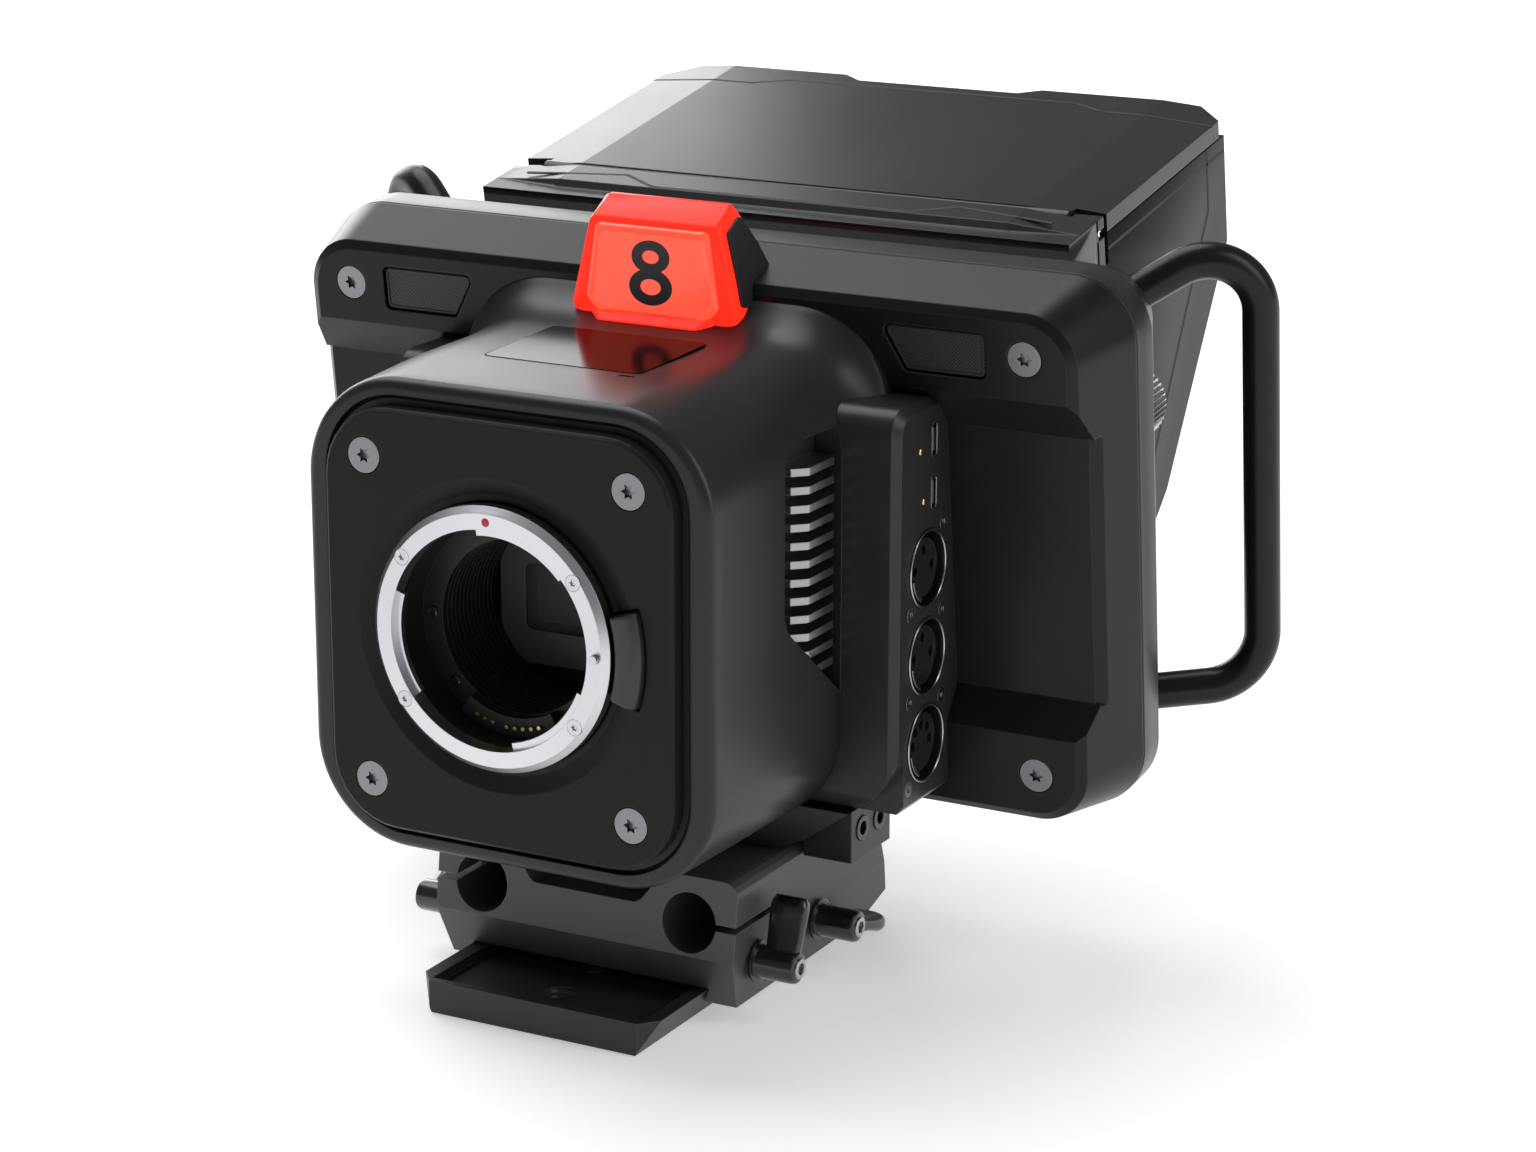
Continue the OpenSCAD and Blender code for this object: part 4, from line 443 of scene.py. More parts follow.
def rod(name, d, a, b, steps=48, matrix=LENS, chamfer=0.0):
    """A cylinder between two points."""
    a, b = Vector(a), Vector(b)
    z = (b - a).normalized()
    x = z.orthogonal().normalized()
    y = z.cross(x)
    length = (b - a).length
    rings = [(0, d / 2 - chamfer), (chamfer, d / 2), (length - chamfer, d / 2),
             (length, d / 2 - chamfer)] if chamfer else [(0, d / 2), (length, d / 2)]
    verts = []
    for t, r in rings:
        for i in range(steps):
            w = 2 * math.pi * i / steps
            verts.append(a + z * t + x * (r * math.cos(w)) + y * (r * math.sin(w)))
    faces = [(i * steps + j, i * steps + (j + 1) % steps, (i + 1) * steps + (j + 1) % steps,
              (i + 1) * steps + j) for i in range(len(rings) - 1) for j in range(steps)]
    faces += [tuple(reversed(range(steps))),
              tuple(range((len(rings) - 1) * steps, len(rings) * steps))]
    return mesh_piece(name, verts, faces, matrix)


def block(name, lo, hi, matrix=LENS):
    (x0, y0, z0), (x1, y1, z1) = lo, hi
    return prism(name, [(x0, z0), (x1, z0), (x1, z1), (x0, z1)], y0, y1, "Y", matrix)


def joined(*objs):
    """One object out of several, with no boolean."""
    bm = bmesh.new()
    for o in objs:
        bm.from_mesh(o.data)
    bm.to_mesh(objs[0].data)
    bm.free()
    for o in objs[1:]:
        bpy.data.objects.remove(o)
    return objs[0]


def lookup(x, table):
    """Smooth curve through table points."""
    if x <= table[0][0]:
        return table[0][1]
    if x >= table[-1][0]:
        return table[-1][1]
    for i in range(len(table) - 1):
        if table[i][0] <= x <= table[i + 1][0]:
            break
    slopes = [(table[k + 1][1] - table[k][1]) / (table[k + 1][0] - table[k][0])
              for k in range(len(table) - 1)]
    tangent = [slopes[0]] + [(slopes[k - 1] + slopes[k]) / 2 for k in range(1, len(slopes))]
    tangent.append(slopes[-1])
    (x0, y0), (x1, y1) = table[i], table[i + 1]
    h = x1 - x0
    s = (x - x0) / h
    return ((2 * s ** 3 - 3 * s ** 2 + 1) * y0 + (s ** 3 - 2 * s ** 2 + s) * h * tangent[i]
            + (3 * s ** 2 - 2 * s ** 3) * y1 + (s ** 3 - s ** 2) * h * tangent[i + 1])


# Front body: a rounded box that widens towards the housing, in the lens frame

DROP = 0.45  # the box's middle lies this far below the lens axis
BODY_W, BODY_H, BODY_R = 111.4, 117.3, 26.0
FRONT, EDGE_R = 8.0, 2.6
GROOVE_W, GROOVE_H, GROOVE_R, GROOVE_FLOOR = 50, 54.75, 20.3, 11.5
# Share of the widening reached at each depth behind the front
SIDE_FLARE, TOP_FLARE = 5.5, 10.3
FLARE = [(0, 0), (26.4, 0.14), (61.6, 0.24), (68.8, 0.36), (73.6, 0.54), (76.8, 0.75), (80, 1),
         (112, 1)]
POD_HALF = 72.0


def body_half(y):
    return BODY_W / 2 + SIDE_FLARE * lookup(y - FRONT, FLARE)


def body_top(y):
    return BODY_H / 2 - DROP + TOP_FLARE * lookup(y - FRONT, FLARE)


EDGE_STEPS = 8
BODY_DEPTHS = [14, 20, 28, 36, 44, 52, 60, 64, 68, 71, 74, 76, 78, 80, 81.5, 83, 84, 85, 86, 87,
               88, 120]


def body_loft(name):
    depths, insets = [], []
    for i in range(EDGE_STEPS + 1):
        a = math.radians(90 * i / EDGE_STEPS)
        depths.append(FRONT + EDGE_R * (1 - math.cos(a)))
        insets.append(EDGE_R * (1 - math.sin(a)))
    depths += BODY_DEPTHS
    insets += [0] * len(BODY_DEPTHS)
    rings = [rounded(body_half(y) - i, body_top(y) - i, -BODY_H / 2 - DROP + i, BODY_R - i, 24)
             for y, i in zip(depths, insets)]
    return loft(name, depths, rings)


# The recess across the housing's face, as (depth, height) in the housing's frame
RECESS = [(0, 50.5), (7.1, 39.9), (7.1, -29.0), (0, -37.3)]
FAR = 400


def behind_housing(name):
    return prism(name, [(0, FAR), *RECESS, (0, -FAR), (FAR, -FAR), (FAR, FAR)], -FAR, FAR, "X",
                 HOUSING)


VENT_FRONT, VENT_REAR, VENT_TOP, VENT_R, VENT_SLOPE = 42, 70.5, 43.5, 9, math.radians(39)
VENT_FLOOR = 47.5


def vent_outline(inset=0.0):
    y0, y1, top, r = VENT_FRONT + inset, VENT_REAR - inset, VENT_TOP - inset, VENT_R - inset
    slope = math.tan(VENT_SLOPE)
    low = inset / math.cos(VENT_SLOPE)
    return rounded_path([(y0, top), (y1, top), (y1, low - (y1 - VENT_FRONT) * slope),
                         (y0, low - (y0 - VENT_FRONT) * slope)], [r, 0, 0, r], 12)


NECK_FROM, NECK_TO, NECK_CORNER = 70.5, 118, (59.56, -54.5)
NECK_X, NECK_Z, NECK_R = 31.823, -37.3, 30


def neck_outline():
    right = [NECK_CORNER] + arc(NECK_X, NECK_Z, NECK_R, -55, -90, 12)
    return right + [(-x, z) for x, z in reversed(right)]


BORE_D = 76
JACK_D, JACK_Y, JACK_Z = 6.6, (83, 92.5), -62.3
JACK_BLOCK_FROM, JACK_BLOCK_TO = 77, (57, 98.5, -54.5)
WINDOW_HALF, WINDOW_LENGTH, WINDOW_R, WINDOW_DEPTH = 22.05, 33.5, 2.2, 1.4
WINDOW_Y, WINDOW_TILT = 34.25, 1.9
shell = body_loft("body_skin")
cut(shell, prism("neck", neck_outline(), NECK_FROM, NECK_TO), op="UNION")
for x0, z0 in ((43.6, -70), (36, -66)):
    cut(shell, block("jack_root", (x0, JACK_BLOCK_FROM, z0), JACK_BLOCK_TO), op="UNION")
cut(shell, behind_housing("cut_housing"),
    loft("cut_front", [FRONT - 1, GROOVE_FLOOR],
         [rounded(GROOVE_W, GROOVE_H - DROP, -GROOVE_H - DROP, GROOVE_R, 20)] * 2),
    rod("cut_bore", BORE_D, (0, 9, 0), (0, 60, 0), 96),
    block("cut_room", (-44.5, 55, -48), (44.5, 95, 48)),
    prism("cut_vent_r", vent_outline(), VENT_FLOOR, 90, "X"),
    prism("cut_vent_l", vent_outline(), -90, -VENT_FLOOR, "X"),
    block("cut_tab", (17.6, 31.6, 57), (21.8, 32.7, 70)),
    *[rod("cut_jack", JACK_D, (44, y, JACK_Z), (60, y, JACK_Z), 32) for y in JACK_Y])
window = rounded_path([(-WINDOW_HALF, 0), (WINDOW_HALF, 0), (WINDOW_HALF, WINDOW_LENGTH),
                       (-WINDOW_HALF, WINDOW_LENGTH)], [WINDOW_R] * 4, 6)
cut(shell, prism("cut_window", window, -WINDOW_DEPTH, 20, "Z",
                 LENS @ Matrix.Translation((0, WINDOW_Y, body_top(34.5)))
                 @ Matrix.Rotation(math.radians(WINDOW_TILT), 4, "X")))
done(shell, "shell_dark", nodes=["body_shell"])

# Heat sinks: broad bevels on the fins' front corners, and a base plate in each pocket

FINS, FIN_PITCH, FIN_WALL, FIN_TOP, FIN_FRONT, FIN_ROOT = 12, 4.55, 1.9, 34.95, 51, 48.0
SINK_PLATE, SINK_GAP = 49.5, 0.3
tip = body_half(FIN_FRONT)
FIN = [(FIN_ROOT, FIN_FRONT), (tip - 3.3, FIN_FRONT), (tip - 0.2, 54.1), (tip, 54.8),
       (tip, 67.0), (tip - 0.6, 68.2), (FIN_ROOT, 70)]
for s, side in ((1, "right"), (-1, "left")):
    fins = []
    for i in range(FINS):
        z = FIN_TOP - FIN_PITCH * i
        fins.append(prism("fin", [(s * x, y) for x, y in FIN], z, z + FIN_WALL, "Z"))
    fins = joined(*fins)
    fins.name = "heat_sink_" + side + "_skin"
    cut(fins, prism("clip", vent_outline(SINK_GAP), *sorted((s * 40, s * 70)), "X"),
        op="INTERSECT")
    plate = prism("plate", vent_outline(SINK_GAP),
                  *sorted((s * VENT_FLOOR, s * SINK_PLATE)), "X")
    done(joined(fins, plate), "fin_metal", nodes=["heat_sink_" + side], angle=25)

# The plate's black groove gets a soft seal, and the mount its index dot and throat screws

# Half width, half height and corner radius of the seal, outside and inside
SEAL_OUT, SEAL_IN = (49.6, 54.35, 19.9), (47.4, 52.2, 17.7)
SEAL_DEPTHS, SEAL_ROUND = [9.0, 9.6, 11.4], 0.6


def seal_ring(size, inset=0.0):
    half_w, half_h, r = size
    return rounded(half_w - inset, half_h - DROP - inset, -half_h - DROP + inset, r - inset, 20)


seal = loft("groove_seal", SEAL_DEPTHS, [seal_ring(SEAL_OUT, i) for i in (SEAL_ROUND, 0, 0)])
cut(seal, loft("seal_hole", [8, 12], [seal_ring(SEAL_IN)] * 2))
done(seal, "groove_black")

DOT_Z, DOT = 28.9, [(0, -0.1), (0.7, -0.08), (1.15, 0.02), (1.25, 0.3), (0, 0.3)]
dot = turned("index_dot", DOT, steps=32, centre=(0, DOT_Z))
done(dot, "tally_red_paint")


THROAT_SCREW_D, THROAT_SCREW_HEX, THROAT_SCREW_Y, THROAT_SCREW_R = 3.0, 0.75, 14, 24.2
THROAT_SCREW_HEAD, THROAT_SCREW_SOCKET = 0.8, 0.5


def throat_screw(angle):
    """A small cap screw head whose face looks along -Y."""
    a = math.radians(angle)
    x, z = THROAT_SCREW_R * math.cos(a), THROAT_SCREW_R * math.sin(a)
    r, foot, face = THROAT_SCREW_D / 2, THROAT_SCREW_Y + 0.6, THROAT_SCREW_Y - THROAT_SCREW_HEAD
    head = turned(f"s{angle}", [(0, face), (r - 0.25, face), (r, THROAT_SCREW_Y - 0.55), (r, foot),
                                (0, foot)], steps=28, centre=(x, z))
    socket = [(x + THROAT_SCREW_HEX * math.cos(math.radians(b)),
               z + THROAT_SCREW_HEX * math.sin(math.radians(b))) for b in range(0, 360, 60)]
    return cut(head, prism("hex", socket, THROAT_SCREW_Y - 2, face + THROAT_SCREW_SOCKET))


screws = joined(*[throat_screw(angle) for angle in (78, 179, 222, 312)])
done(screws, "socket_dark").name = "throat_screws"

BUTTON = [(33.3, 2.2), (34.2, 0.9), (38.6, 0.9), (40.3, 2.4), (40.4, 7.2), (33.3, 7.2)]
BUTTON_ARC = 17
button = turned("release_button_skin", BUTTON, -BUTTON_ARC, BUTTON_ARC, steps=24)
eased(button, 0.5, 2)
done(button, "button_black", body="release_button", nodes=["release_button"])

# Tally lamp: a red shell with a raised lit panel, dark cheeks and a plain number


def hull(name, points, matrix=LENS):
    bm = bmesh.new()
    for p in points:
        bm.verts.new(matrix @ Vector(p))
    out = bmesh.ops.convex_hull(bm, input=bm.verts)
    spare = {g for g in out["geom_interior"] + out["geom_unused"]
             if isinstance(g, bmesh.types.BMVert)}
    bmesh.ops.delete(bm, geom=list(spare), context="VERTS")
    bmesh.ops.dissolve_limit(bm, angle_limit=math.radians(1), verts=bm.verts, edges=bm.edges)
    mesh = bpy.data.meshes.new(name)
    bm.to_mesh(mesh)
    bm.free()
    obj = bpy.data.objects.new(name, mesh)
    bpy.context.scene.collection.objects.link(obj)
    return obj


def both(points):
    return points + [(-x, y, z) for x, y, z in points]


# Right half of the lamp's and its lip's corners, in the lens frame
LAMP = [(18, 78.6, 86.7), (23.6, 78.6, 63.6), (15, 78.6, 57.2), (18, 87.8, 92.0),
        (23.6, 87.8, 63.6), (18, 105.3, 71.5), (23.6, 105.3, 63.6), (15, 87.8, 57.2)]
LIP = [(12.2, 73.2, 57.6), (12.2, 73.2, 60.0), (17.6, 78.9, 65.4), (18.2, 78.9, 59.8),
       (14.6, 80, 57.3)]
LAMP_ROUND, LIP_ROUND, LAMP_GAP = 1.4, 0.6, 0.15
# The housing's edge under the lamp, as (depth, height) in the housing's frame
LAMP_SEAT = [(-0.2, 70.6), (1.4, 72.5), (22, 76.5)]
lamp = hull("tally_skin", both(LAMP))
lip = hull("lip", both(LIP))
eased(lamp, LAMP_ROUND, 4, 25)
eased(lip, LIP_ROUND, 2, 25)
cut(lamp, lip, op="UNION")
seat = body_loft("seat")
seat.data.transform(LENS @ Matrix.Translation((0, 0, LAMP_GAP)) @ LENS.inverted())
cut(lamp, seat, prism("seat_b", [(LAMP_SEAT[0][0], -100), *LAMP_SEAT, (300, LAMP_SEAT[-1][1]),
                                 (300, -100)], -200, 200, "X", HOUSING))
done(lamp, "tally_red", nodes=["tally_lens"], angle=40)


def panel_ring(grow):
    return rounded_path([(-15.4 - grow, 85.2 + grow), (-18.2 - grow, 66.5),
                         (-13.2 - grow, 62.2 - grow), (13.2 + grow, 62.2 - grow),
                         (18.2 + grow, 66.5), (15.4 + grow, 85.2 + grow)],
                        [1.6, 2.6, 2.2, 2.2, 2.6, 1.6], 6)


# Growth and depth of the raised panel, from its foot over the rim to its face
PANEL = [(0.5, 78.9), (0.4, 77.9), (0.0, 77.35), (-0.7, 77.2), (-1.1, 77.5), (-1.5, 77.55)]
done(loft("tally_panel", [y for _, y in PANEL], [panel_ring(grow) for grow, _ in PANEL]),
     "tally_glow", angle=30)


def band(name, cx, cz, rx, rz, stroke_x, stroke_z, y, steps=56):
    """A flat oval band whose face looks along -Y."""
    verts, faces = [], []
    for i in range(steps):
        a = 2 * math.pi * i / steps
        c, s = math.cos(a), math.sin(a)
        outer = cx + rx * c, cz + rz * s
        inner = cx + (rx - stroke_x) * c, cz + (rz - stroke_z) * s
        verts += [(x, y + deep, z) for (x, z), deep in ((outer, 0), (inner, 0), (inner, 0.4),
                                                        (outer, 0.4))]
        k = (i + 1) % steps
        faces += [(4 * i + j, 4 * i + (j + 1) % 4, 4 * k + (j + 1) % 4, 4 * k + j)
                  for j in range(4)]
    return mesh_piece(name, verts, faces)


# Height, half width, half height, both strokes and depth of the number's two rings
UPPER, LOWER = (78.25, 5.35, 4.15, 2.95, 2.5, 77.38), (70.75, 6.05, 4.6, 3.1, 2.6, 77.36)
number = joined(band("tally_number", 0, *UPPER), band("lower", 0, *LOWER))
done(number, "number_dark")

CHEEK_PROUD, CHEEK_INNER = 0.7, 10
CHEEK = [(81.8, 85.2), (87.6, 88.6), (89.4, 87.2), (101.0, 73.4), (101.6, 66.8), (81.8, 66.8)]
cheek_path = rounded_path(CHEEK, [1.2, 1.2, 1.0, 1.4, 1.2, 1.4], 4)
for s, side in ((1, "right"), (-1, "left")):
    cheek = hull("tally_cheek_" + side,
                 [(s * (x + CHEEK_PROUD), y, z) for x, y, z in LAMP]
                 + [(s * CHEEK_INNER, y, z) for x, y, z in LAMP])
    cut(cheek, prism("cheek", cheek_path, -40, 40, "X"), op="INTERSECT")
    done(cheek, "pod_dark", angle=30)

# Rear housing: two shells with a fine seam, chamfered front edge and a recess across the face

# Half width, top, bottom and corner radius at the front face, at the widest and at the rear
AT_FRONT, AT_WIDEST, AT_REAR = (109, 72, -60, 13.5), (116, 76.3, -64, 17), (104, 66.3, -56, 12)
WIDE_FROM, WIDE_TO, REAR = 22, 31.5, 60


def housing_section(v):
    if v <= WIDE_FROM:
        a, b, t = AT_FRONT, AT_WIDEST, v / WIDE_FROM
    else:
        a, b, t = AT_WIDEST, AT_REAR, max(0, (v - WIDE_TO) / (REAR - WIDE_TO))
    return [p + (q - p) * t for p, q in zip(a, b)]


def housing_ring(v, inset=0.0):
    half, top, bottom, r = housing_section(v)
    return rounded(half - inset, top - inset, bottom + inset, r - inset, 26)


CHAMFER_DEPTH, CHAMFER_INSET = 1.7, 1.9
SPLIT_FRONT, SPLIT_REAR = 21.8, 22.2
PIT_D, PIT_DEPTH, PIT_X, PIT_HEIGHTS = 9.2, 2.7, 96.25, (61.1, -47.8)
# Chamfer along the recess's side edges, as (half width, depth), and its ends
WEDGE, WEDGE_LOW, WEDGE_TOP = [(109.5, 7.05), (115, 7.05), (115, 12.55)], -29.6, 40.5
front = loft("housing_front_skin", [0, CHAMFER_DEPTH, SPLIT_FRONT],
             [housing_ring(0, CHAMFER_INSET), housing_ring(CHAMFER_DEPTH),
              housing_ring(SPLIT_FRONT)], HOUSING)
cut(front, prism("recess", [(-5, RECESS[0][1]), *RECESS, (-5, RECESS[-1][1])], -200, 200, "X",
                 HOUSING))
for s in (1, -1):
    wedge = [(s * x, v) for x, v in WEDGE]
    cut(front, prism("wedge", wedge, WEDGE_LOW, WEDGE_TOP, "Z", HOUSING))
GRILLE = [(58.4, 66.2), (85.8, 66.2), (85.8, 55.0), (64.6, 55.0)]


def grille_path(grow, r):
    return rounded_path([(GRILLE[0][0] - grow * 1.6, GRILLE[0][1] + grow),
                         (GRILLE[1][0] + grow, GRILLE[1][1] + grow),
                         (GRILLE[2][0] + grow, GRILLE[2][1] - grow),
                         (GRILLE[3][0] - grow * 0.6, GRILLE[3][1] - grow)], [r] * 4, 6)


for s in (1, -1):
    pocket = [(s * x, z) for x, z in grille_path(0.35, 1.8)]
    cut(front, prism("pocket", pocket, -1, 2, "Y", HOUSING))
    for w in PIT_HEIGHTS:
        cut(front, rod("pit", PIT_D, (s * PIT_X, -1, w), (s * PIT_X, PIT_DEPTH, w), 48, HOUSING))
cut(front, block("cable_room", (-44.5, -2, -30), (44.5, 12, 40), HOUSING))
# The front shell takes the darker copy of the shell paint: painted shade
done(front, "housing_painted_shade", nodes=["housing_front"], angle=20)

grilles = []
for s in (1, -1):
    rim, brow, inner = grille_path(-0.1, 1.5), grille_path(-0.45, 1.2), grille_path(-0.9, 1.0)
    rings = [[(s * x, z) for x, z in path] for path in (rim, rim, brow, inner, inner)]
    grilles.append(loft("grille", [2.0, 0.75, 0.45, 0.5, 0.72], rings, HOUSING))
grilles = joined(*grilles)
grilles.name = "mic_grille_mesh"
done(grilles, "grille_metal", nodes=["mic_grilles"], angle=25)

KEY_X, KEYS = -95.5, [38 - 14 * i for i in range(5)]
DIAL_SLOT_D, DIAL_X, DIAL_W = 21.6, 101, 34.7
rear_depths = [SPLIT_REAR, 22.6, WIDE_TO, 33, 36, 40, 46, 52, 58.4, 59.1, 59.7, REAR]
rear_insets = [0.4, 0, 0, 0, 0, 0, 0, 0, 0, 0.25, 0.8, 1.6]
rear = loft("housing_rear_skin", rear_depths,
            [housing_ring(v, i) for v, i in zip(rear_depths, rear_insets)], HOUSING)
cut(rear, block("glass_pocket", (-80.3, 51, -42.3), (80.3, 62, 56.3), HOUSING),
    rod("dial_slot", DIAL_SLOT_D, (DIAL_X, 43.7, DIAL_W), (DIAL_X, 52.8, DIAL_W), 64, HOUSING),
    *[rod("key_hole", 9.0, (KEY_X, 50, w), (KEY_X, 62, w), 40, HOUSING) for w in KEYS],
    *[rod("key_room", 11.4, (KEY_X, 50, w), (KEY_X, 57.4, w), 40, HOUSING) for w in KEYS])
done(rear, "shell_dark", nodes=["housing_rear"])

# Sun hood, in a frame of its own: x across, y back along the lid, z up from the lid's top

HALF, WALL, FLAT = 86, 2.2, 66.5  # half width, wall, and half width of the lid's flat part
BEVEL_DROP, LID_FROM, LID_TO = 1.6, 13.5, 97.8
HINGE_Y, HINGE_Z, HINGE_D, HINGE_HALF = 9.9, -3.1, 5.6, 77.6
SEAM_W, SIDE_SEAM_W = 1.0, 0.9


def strips(points, width, spare, lo, hi, axis, matrix):
    """Thin bars along the points, each longer than its stretch by spare at both ends."""
    out = []
    for a, b in zip(points, points[1:]):
        u = (Vector(b) - Vector(a)).normalized()
        n = Vector((-u.y, u.x)) * width / 2
        a, b = Vector(a) - u * spare, Vector(b) + u * spare
        out.append(prism("strip", [tuple(a - n), tuple(b - n), tuple(b + n), tuple(a + n)],
                         lo, hi, axis, matrix))
    return out


def seam(name, points, matrix, body):
    """A fine dark joint line along points in a flat face at z = 0, let into it."""
    line = joined(*strips(points, SEAM_W, SEAM_W / 3, -0.3, 0.04, "Z", matrix))
    line.name = name
    return done(line, "groove_black", body=body)


frame_skin = block("hood_frame_skin", (-HALF, -10, -130.6), (HALF, 8, -BEVEL_DROP), HOOD)
cut(frame_skin, block("inside", (-81, -20, -125.6), (81, 20, -6.6), HOOD))
nose = prism("nose", [(8, 0), (-3, 0), (-10, -6), (-10, -10), (-3, -10), (-3, -5), (8, -5)],
             -FLAT, FLAT, "X", HOOD)
cut(frame_skin, nose, op="UNION")
for s in (1, -1):
    section = [(7.9, 0), (-3, 0), (-10, -6), (-10, -9), (-3, -9), (-3, -5), (7.9, -5)]
    verts = [(s * x, y, z - d) for x, d in ((66.3, 0.02), (85.9, BEVEL_DROP)) for y, z in section]
    n = len(section)
    faces = [(j, (j + 1) % n, n + (j + 1) % n, n + j) for j in range(n)]
    faces += [tuple(range(n)), tuple(range(n, 2 * n))]
    shoulder = mesh_piece("shoulder", verts, faces, HOOD)
    cut(frame_skin, shoulder, op="UNION")
for s in (1, -1):
    x0, x1 = sorted((s * 78.4, s * HALF))
    cut(frame_skin, block("lug", (x0, 7, -4.6), (x1, 11.5, -BEVEL_DROP), HOOD), op="UNION")
    x0, x1 = sorted((s * 83, s * HALF))
    for z0, z1 in ((-14.8, -7.2), (-122, -114.4)):
        cut(frame_skin, block("lug", (x0, 7, z0), (x1, 11.5, z1), HOOD), op="UNION")
cut(frame_skin, prism("under", [(-300, -300), (22, -300), (22, 76.6), (31.5, 76.6), (60.3, 66.6),
                                (60, 60), (60, -300)], -300, 300, "X", HOUSING))
cut(frame_skin, rod("barrel_room", 6.8, (-77.9, HINGE_Y, HINGE_Z), (77.9, HINGE_Y, HINGE_Z), 64,
                    HOOD))
eased(frame_skin, 0.5, 2, 30)
done(frame_skin, "hood_black", nodes=["hood_frame"], angle=3.5)
seam("hood_front_seam", [(-77, -0.6), (-67.6, 1.3), (-49, 4.4), (-38, -2.2), (38, -2.2), (49, 4.4),
                         (67.6, 1.3), (77, -0.6)], HOOD, "camera")

LID = [(-HALF, -BEVEL_DROP), (-FLAT, 0), (FLAT, 0), (HALF, -BEVEL_DROP), (HALF, -6.4),
       (83.8, -6.4), (83.8, -3.8), (FLAT, -WALL), (-FLAT, -WALL), (-83.8, -3.8), (-83.8, -6.4),
       (-HALF, -6.4)]
lid = loft("hood_top_skin", [LID_FROM, LID_TO], [LID] * 2, HOOD)
bridge = prism("bridge", [(HINGE_Y, 0.0), (14, 0.0), (14, -WALL), (HINGE_Y, -2.6)], -FLAT, FLAT,
               "X", HOOD)
cut(lid, bridge, op="UNION")
for s in (1, -1):
    wing = hull("wing", [(s * x, y, z + d) for x, z in ((FLAT, 0), (HINGE_HALF, -0.91))
                         for y in (HINGE_Y, 14) for d in (0, -WALL)], HOOD)
    cut(lid, wing, op="UNION")
cut(lid, rod("barrel", HINGE_D, (-HINGE_HALF, HINGE_Y, HINGE_Z), (HINGE_HALF, HINGE_Y, HINGE_Z),
             48, HOOD), op="UNION")
cut(lid, prism("notch", [(-30.5, 99), (-30.5, 97.8), (-24.5, 93.8), (24.5, 93.8), (30.5, 97.8),
                         (30.5, 99)], -20, 20, "Z", HOOD),
    prism("corner_r", [(87, 88.4), (87, 99), (76.4, 99)], -20, 20, "Z", HOOD),
    prism("corner_l", [(-87, 88.4), (-87, 99), (-76.4, 99)], -20, 20, "Z", HOOD))
eased(lid, 0.35, 2, 30)
done(lid, "hood_black", body="hood_top", nodes=["hood_top"], angle=3.5)
seam("hood_rear_seam", [(-66.3, 84.5), (-54, 84.5), (-44, 89.5), (44, 89.5), (54, 84.5),
                        (66.3, 84.5)], HOOD, "hood_top")
for s, side in ((1, "right"), (-1, "left")):
    slope = HOOD @ Matrix.Translation((s * FLAT, 0, 0)) @ Matrix.Rotation(
        s * math.atan(BEVEL_DROP / (HALF - FLAT)), 4, "Y")
    seam("hood_rear_seam_" + side, [(0, 84.5), (s * (HALF - FLAT), 84.5)], slope, "hood_top")

SIDE = [(9.9, -14.8), (13.5, -14.8), (13.5, -6.8), (92.9, -6.8), (92.9, -37), (44.9, -91),
        (9.9, -114)]
SIDE_SEAMS = [[(80.5, -7.1), (80.5, -24), (37.6, -78)], [(13.8, -11), (92.6, -11)]]
for s, side in ((1, "right"), (-1, "left")):
    x0, x1 = sorted((s * 83.8, s * HALF))
    panel = prism("hood_" + side + "_skin", SIDE, x0, x1, "X", HOOD)
    cut(panel, rod("knuckle", 3.0, (s * 84.5, 9.9, -114), (s * 84.5, 9.9, -14.8), 32, HOOD),
        op="UNION")
    eased(panel, 0.35, 2, 40)
    # The side panels take the darker copy of the hood's material: painted shade
    done(panel, "hood_side_painted_shade", body="hood_" + side, nodes=["hood_" + side])
    lo, hi = sorted((s * 85.7, s * 86.03))
    lines = joined(*[bar for points in SIDE_SEAMS
                     for bar in strips(points, SIDE_SEAM_W, 0, lo, hi, "X", HOOD)])
    lines.name = "hood_side_seams_" + side
    done(lines, "groove_black", body="hood_" + side)

# Wing levers: bossed hub with a bright socket screw, and a waisted wing

# Side, place along Y and turn of each lever
LEVERS = {"rod_lever_right": (1, 53.0, -19.0), "rod_lever_left": (-1, 53.0, -70.0),
          "plate_lever": (1, 85.5, -105.0)}
LEVER_X, LEVER_Z = 43.1, -90.0
# Profiles as (place along the axis, radius)
HUB = [(0.31, 0), (0.31, 5.2), (0.9, 5.5), (1.3, 5.5), (1.3, 4.3), (2.0, 4.1), (10.9, 4.1),
       (11.7, 3.8), (12.0, 3.2), (12.0, 0)]
SOCKET_R = (1.6, 1.5)
SCREW = [(11.6, 0), (11.6, 2.55), (12.45, 2.55), (12.6, 2.3), (12.6, SOCKET_R[0]),
         (11.7, SOCKET_R[1]), (11.7, 0)]
WING_X, WING_FOOT, WING_LENGTH, WING_RINGS = 7, -1, 18.2, 14
TIP_FROM, TIP_LENGTH = 14.2, 3.05
NARROW_FROM, NARROW_LENGTH = 14.6, 2.6


def tube_faces(rings, n):
    return [(k * n + i, k * n + (i + 1) % n, (k + 1) * n + (i + 1) % n, (k + 1) * n + i)
            for k in range(rings - 1) for i in range(n)]


def about_x(name, profile, steps, matrix):
    """A profile turned about X; the radii of SOCKET_R become six-sided."""
    verts = []
    for x, r in profile:
        for i in range(steps):
            a = 2 * math.pi * i / steps
            reach = r
            if r in SOCKET_R:
                reach = r / math.cos((a + math.pi / 6) % (math.pi / 3) - math.pi / 6) * 0.9
            verts.append((x, reach * math.cos(a), reach * math.sin(a)))
    return mesh_piece(name, verts, tube_faces(len(profile), steps), matrix)


